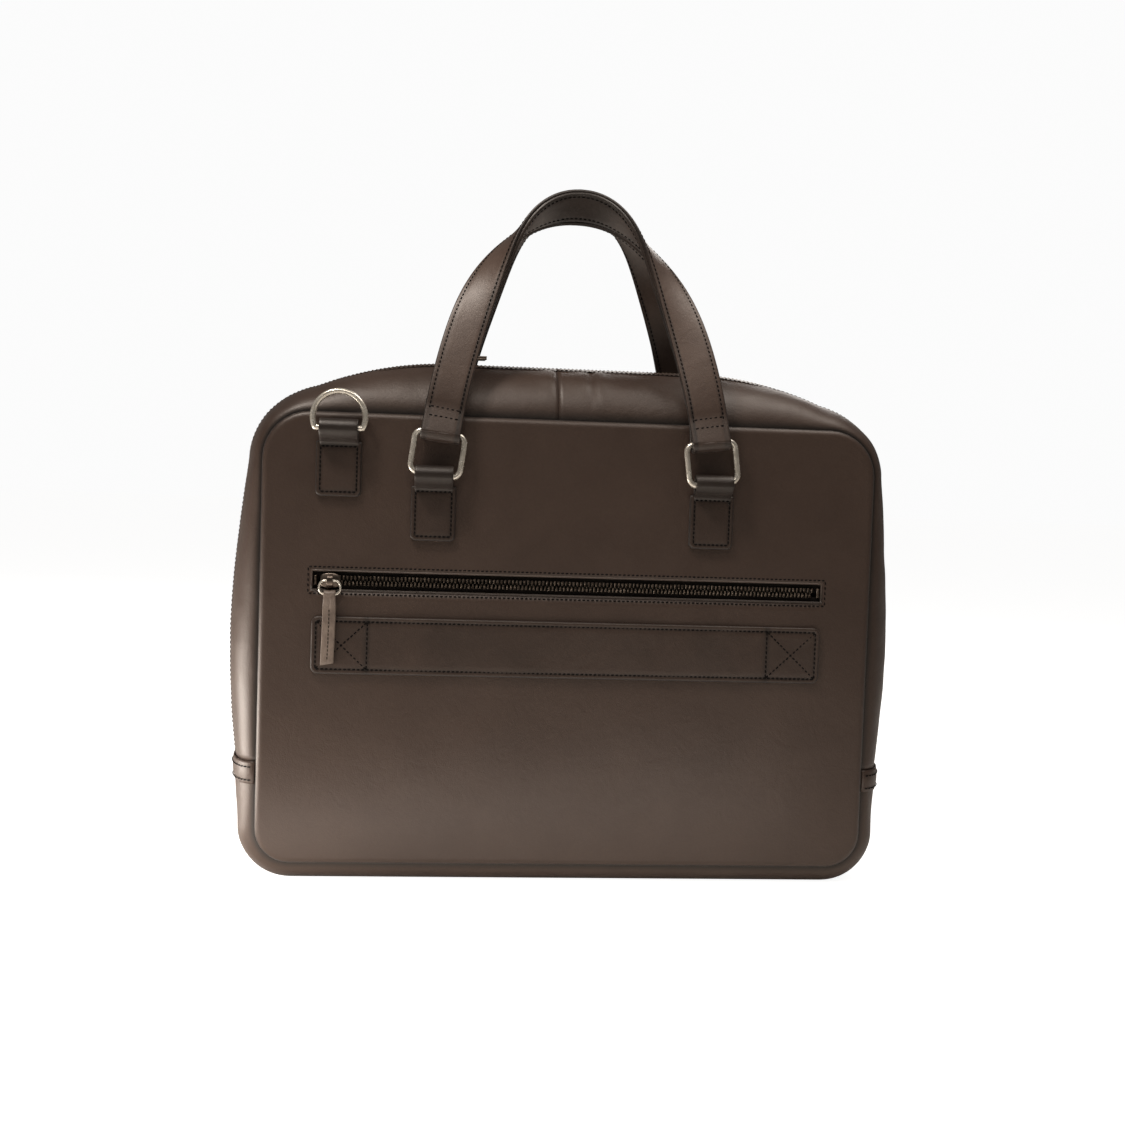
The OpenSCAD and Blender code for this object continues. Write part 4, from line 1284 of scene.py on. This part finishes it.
def make_pocket_puller():
    verts, faces = join([*slider_shape(-POCKET_ROOM, POCKET_ROOM),
                         crown_shape(POCKET_ROOM + SLIDER_PLATE, CROWN_BORE, "x")])
    verts = [np.array([SLIDER_X + x, CHAIN_Y - z, POCKET_Z + y]) for x, y, z in verts]
    add_mesh("pocket_slider_casting", verts, faces, SLIDER_METAL, "pocket_slider_body",
             ["pocket_slider"], sharp=40)
    at = np.array([SLIDER_X, CHAIN_Y - POCKET_ROOM - SLIDER_PLATE - CROWN_BORE,
                   POCKET_Z - PULL_RING_L])
    zs = np.linspace(-9, -41, 20)
    hang_puller("pocket", 44.4, ((-1, zs), (1, zs)), lambda verts: [v + at for v in verts])


# ---------------------------------------------------------------- main zip

def crest_path(z_start, n):
    """The crest line from one zip end over the top to the other, with its normals."""
    left = upper_stations(z_start, 0.0, (60, 30, 60))
    points = [np.array([s[0] + s[2] * (s[4] + n), 0, s[1] + s[3] * (s[4] + n)])
              for s in left]
    points += [np.array([-p[0], p[1], p[2]]) for p in points[-2::-1]]
    return points, normals_beside(points, (0, -1, 0))


def make_main_zip():
    crest, crest_normals = crest_path(ZIP_END_Z + 3.0, -1.2)
    tape_path = crest_path(ZIP_END_Z + 1.0, -2.4)
    for end, sign, body, _ in ENDS:
        ends = slice(None) if end == "rear" else slice(1, -1)
        teeth_row(f"main_zip_{end}_teeth_row", tooth(sign * 0.25, sign * 3.0, -1.8, 1.8),
                  crest[ends], crest_normals[ends], 2.6, body, [f"main_zip_{end}_teeth"])
        section = [(sign * a, n) for a, n in ((2.6, 0.3), (7.5, 0.3), (13, 0.3), (13, -0.3),
                                              (7.5, -0.3), (2.6, -0.3))]
        tape = add_mesh(f"main_zip_{end}_tape_cloth", *sweep(*tape_path, section), TAPE,
                        body, [f"main_zip_{end}_tape"], sharp=50)


MAIN_SLIDER_X = -81.0
MAIN_CROWN_Z = CREST_Z + MAIN_ROOM + SLIDER_PLATE + CROWN_BORE


def make_main_puller():
    verts, faces = join([*slider_shape(-3.4, MAIN_ROOM),
                         crown_shape(MAIN_ROOM + SLIDER_PLATE, CROWN_BORE, "y")])
    at = np.array([MAIN_SLIDER_X, 0, CREST_Z])
    add_mesh("main_slider_casting", [v + at for v in verts], faces, SLIDER_METAL,
             "main_slider_body", ["main_slider"], sharp=40)

    def lying(verts):
        return [np.array([MAIN_SLIDER_X + PULL_RING_L - z, x, MAIN_CROWN_Z - y])
                for x, y, z in verts]

    hang_puller("main", 16.0, ((-1, np.linspace(-7, -13.5, 8)),), lying)


# ---------------------------------------------------------------- gusset stitching

def make_gusset_stitches():
    """Rows beside the zip and on the zip's end tabs."""
    stations = upper_stations(ZIP_END_Z + 2.0, 0.0)
    row, out = [], []
    for station in stations:
        profile = strip_profile(station[4])
        (y0, n0), (y1, n1) = profile[-3], profile[-2]
        y, n = (y0 + y1) / 2, (n0 + n1) / 2
        x = station[0] + station[2] * n
        z = station[1] + station[3] * n
        n += gusset_give(x, z, y) * math.sin(math.pi * 15 / 17)
        slope = unit((y1 - y0, n1 - n0))
        row.append(np.array([station[0] + station[2] * (n + 0.1), y,
                             station[1] + station[3] * (n + 0.1)]))
        out.append(unit((station[2] * slope[0], -slope[1], station[3] * slope[0])))
    runs = [(row, out), (mirror_x(row), mirror_x(out))]
    for end, _, body, to_end in ENDS:
        stitching(f"{end}_gusset_stitches", runs, body, transform=to_end)
    tab_runs = []
    for z in (ZIP_END_Z - 2.2, ZIP_END_Z - 10.6):
        profile = [p for p in bottom_profile(side_bulge(z), side_roll(z), 16)
                   if abs(p[0]) < INNER_Y - 1 and p[1] > 1]
        skin_line = inset(profile, -1.75)
        steps = np.gradient(skin_line, axis=0)
        steps /= np.linalg.norm(steps, axis=1)[:, None]
        line = [np.array([-HALF_W - n, y, z]) for y, n in skin_line]
        normal = [np.array([-s[0], -s[1], 0.0]) for s in steps]
        tab_runs.append((line, normal))
    mirrored = [(mirror_x(line), mirror_x(normal)) for line, normal in tab_runs]
    stitching("zip_end_tab_stitches", tab_runs + mirrored, "rear_half")


# ---------------------------------------------------------------- inside

LINING_T = 0.5
# The face of each panel's lining, both as seen on the rear side
REAR_LINING_Y, FRONT_LINING_Y = -32.0, -38.2


def make_linings():
    inset_by = 7.0
    low = (-HALF_W + inset_by, SEAM_Z + inset_by)
    high = (HALF_W - inset_by, TOP_Z - inset_by)
    levels = (0, 2, 5, 9, 14, 20)
    last = levels[-1]
    xs = grid_lines(low[0] + last, high[0] - last, 9.0)
    zs = grid_lines(low[1] + last, high[1] - last, 9.0)
    plate = rounded_plate(low, high, (LOW_R - inset_by, TOP_R - inset_by), levels, xs, zs)

    for (end, _, body, to_end), near, seed in zip(ENDS, (REAR_LINING_Y, FRONT_LINING_Y), (5, 9)):

        def face(x, z, margin):
            return near + lump((x, seed, z), 45.0, 0.5) + lump((x, seed, z), 14.0, 0.15)

        def back(x, z, margin):
            return face(x, z, margin) + LINING_T

        flat = thick_plate(f"{end}_lining_cloth", plate, face, back, LINING, body,
                           [f"{end}_lining"], to_end)
    left = gusset_strip(0.0, 3.2, 3.2 + LINING_T, 0.7)
    verts, faces = join([left, (mirror_x(left[0]), left[1])])
    for end, _, body, to_end in ENDS:
        curved = add_mesh(f"{end}_gusset_lining_cloth", to_end(verts), faces, LINING, body,
                          [f"{end}_gusset_lining"], sharp=60)
    base = add_mesh("bottom_lining_cloth", *bottom_band(4.4, 4.4 + LINING_T), LINING,
                    "rear_half", ["bottom_lining"], sharp=60)


def make_divider():
    """The padded wall of the laptop sleeve, with a bound top edge."""
    low, high = corners_mm("laptop_divider")
    middle, half = (low[1] + high[1]) / 2, (high[1] - low[1]) / 2
    levels = (0, 0.5, 1.2, 2.2, 4, 7, 12, 24)
    xs = grid_lines(low[0] + 24, high[0] - 24, 9.0)
    zs = grid_lines(low[2] + 24, high[2] - 24, 9.0)
    plate = rounded_plate((low[0], low[2]), (high[0], high[2]), (26, 6), levels, xs, zs)

    def depth(x, z, margin):
        edge = 1 - edge_fall(margin, 2.4)
        bound = 0.55 * bell(high[2] - z - 10, 1.2)
        return half * (0.25 + 0.75 * edge) - bound - 0.4 * bell(margin - 5, 1.5)

    def face(x, z, margin):
        return middle - depth(x, z, margin) + lump((x, 3, z), 50.0, 0.5)

    def back(x, z, margin):
        return middle + depth(x, z, margin) + lump((x, 3, z), 50.0, 0.5)

    piece = thick_plate("laptop_divider_pad", plate, face, back, LINING, "rear_half",
                        ["laptop_divider"])


def make_pocket_bag():
    """The cloth bag behind the pocket's window, open only there."""
    low, high = corners_mm("pocket_bag")
    x0, x1, z0, z1 = WINDOW
    grow = 1.0
    hole = (x0 - grow, x1 + grow, z0 - grow, z1 + grow)
    levels = (0, 1.5, 3.5)
    xs = grid_lines(low[0] + 3.5, high[0] - 3.5, 9.0, hole[:2])
    zs = grid_lines(low[2] + 3.5, high[2] - 3.5, 9.0, hole[2:])
    verts, faces = [], []
    for y, gap in ((low[1], hole), (high[1], None)):
        points, plate_faces, margins = rounded_plate((low[0], low[2]), (high[0], high[2]),
                                                     (3, 3), levels, xs, zs, gap)
        base = len(verts)
        inward = 1 if y == low[1] else -1
        for (x, z), m in zip(points, margins):
            tuck = inward * (high[1] - low[1]) / 2 * (1 - min(1.0, m / 3.5)) ** 2
            verts.append((x, y + tuck + inward * abs(lump((x, y, z), 30.0, 0.6)), z))
        faces += [tuple(i + base for i in f) for f in plate_faces]
    bag = add_mesh("pocket_bag_cloth", verts, faces, LINING, "rear_half", ["pocket_bag"],
                   merge=0.01)


def finish_hidden_parts():
    for name, material in (("rear_stiffener", FOAM), ("front_stiffener", FOAM),
                           ("base_board", BOARD)):
        cad = next(o for o in bpy.data.objects if o.get("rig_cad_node") == name)
        cad.data.materials.clear()
        cad.data.materials.append(material)


# ---------------------------------------------------------------- scene

CAMERA_PLACE = (-76.1, -844.4, 246.5)
CAMERA_YAW = math.radians(5.0)
CAMERA_PITCH = math.radians(2.82)
CAMERA_ROLL = math.radians(1.89)
CAMERA_LENS = 40.83


def make_camera():
    data = bpy.data.cameras.new("camera")
    data.sensor_width = 36.0
    data.lens = CAMERA_LENS
    data.clip_start = 0.01
    camera = bpy.data.objects.new("camera", data)
    bpy.context.scene.collection.objects.link(camera)
    forward = Vector((math.sin(CAMERA_YAW) * math.cos(CAMERA_PITCH),
                      math.cos(CAMERA_YAW) * math.cos(CAMERA_PITCH),
                      -math.sin(CAMERA_PITCH)))
    right = forward.cross(Vector((0, 0, 1))).normalized()
    up = right.cross(forward)
    c, s = math.cos(CAMERA_ROLL), math.sin(CAMERA_ROLL)
    right, up = c * right + s * up, -s * right + c * up
    matrix = Matrix((right, up, -forward)).transposed().to_4x4()
    matrix.translation = Vector(CAMERA_PLACE) * MM
    camera.matrix_world = matrix
    bpy.context.scene.camera = camera


def area_light(name, place, target, size, power, colour):
    data = bpy.data.lights.new(name, "AREA")
    data.shape = "RECTANGLE"
    data.size, data.size_y = size
    data.energy = power
    data.color = colour
    light = bpy.data.objects.new(name, data)
    bpy.context.scene.collection.objects.link(light)
    light.location = place
    aim = Vector(target) - Vector(place)
    light.rotation_euler = aim.to_track_quat("-Z", "Y").to_euler()
    light.visible_camera = False


def seen_or_lighting(nodes, links, seen, lighting):
    """Chooses one shader for what the camera sees directly and another for the rest."""
    path = nodes.new("ShaderNodeLightPath")
    mix = nodes.new("ShaderNodeMixShader")
    links.new(path.outputs["Is Camera Ray"], mix.inputs["Fac"])
    links.new(lighting.outputs[0], mix.inputs[1])
    links.new(seen.outputs[0], mix.inputs[2])
    return mix


def make_studio():
    scene = bpy.context.scene
    scene.view_settings.view_transform = "Standard"
    world = bpy.data.worlds.new("studio")
    world.use_nodes = True
    nodes, links = world.node_tree.nodes, world.node_tree.links
    seen = nodes["Background"]
    seen.inputs["Color"].default_value = (BACKDROP, BACKDROP, BACKDROP, 1)
    ambient = nodes.new("ShaderNodeBackground")
    ambient.inputs["Color"].default_value = (1.0, 0.97, 0.93, 1)
    ambient.inputs["Strength"].default_value = AMBIENT
    mix = seen_or_lighting(nodes, links, seen, ambient)
    links.new(mix.outputs[0], nodes["World Output"].inputs["Surface"])
    scene.world = world
    floor_mesh = bpy.data.meshes.new("floor")
    reach = 40.0
    floor_mesh.from_pydata([(-reach, -reach, 0), (reach, -reach, 0), (reach, reach, 0),
                            (-reach, reach, 0)], [], [(0, 1, 2, 3)])
    floor = bpy.data.objects.new("floor", floor_mesh)
    material, nodes, links, shader = new_material("pale_floor")
    shader.inputs["Base Color"].default_value = (0.86, 0.84, 0.81, 1)
    shader.inputs["Roughness"].default_value = 0.9
    glow = nodes.new("ShaderNodeEmission")
    glow.inputs["Color"].default_value = (1, 1, 1, 1)
    glow.inputs["Strength"].default_value = BACKDROP - 0.86 * AMBIENT
    bright = nodes.new("ShaderNodeAddShader")
    links.new(shader.outputs[0], bright.inputs[0])
    links.new(glow.outputs[0], bright.inputs[1])
    mix = seen_or_lighting(nodes, links, bright, shader)
    links.new(mix.outputs[0], nodes["Material Output"].inputs["Surface"])
    floor_mesh.materials.append(material)
    scene.collection.objects.link(floor)
    for light in LIGHTS:
        area_light(*light)


BACKDROP = 0.97
AMBIENT = 0.06
WARM = (1, 0.94, 0.88)
# Name, place, aim, size, watts and colour of each light, in metres
LIGHTS = (
    ("key", (-0.53, -0.42, 1.30), (0, -0.05, 0.25), (0.22, 0.22), 9, WARM),
    ("side", (-0.42, -0.05, 0.06), (-0.2, -0.02, 0.08), (0.2, 0.1), 1.1, WARM),
    ("bounce", (-0.09, -0.14, 0.006), (-0.06, -0.04, 0.015), (0.6, 0.06), 0.27,
     (1, 0.95, 0.90)),
    ("top", (0.34, -0.12, 0.95), (0.1, 0, 0.3), (0.4, 0.3), 2.2, WARM),
    ("high", (-0.10, -1.05, 1.55), (0, 0, 0.3), (0.9, 0.5), 6, WARM),
    ("back", (0.5, 1.7, 1.1), (0, 0, 0.2), (0.9, 0.9), 8, (1, 0.97, 0.94)),
)

make_gussets()
make_bottom()
make_panels()
make_rings()
make_chapes()
make_luggage_strap()
make_handles()
make_pocket_rim()
make_pocket_zip()
make_pocket_puller()
make_main_zip()
make_main_puller()
make_gusset_stitches()
make_linings()
make_divider()
make_pocket_bag()
finish_hidden_parts()
make_camera()
make_studio()
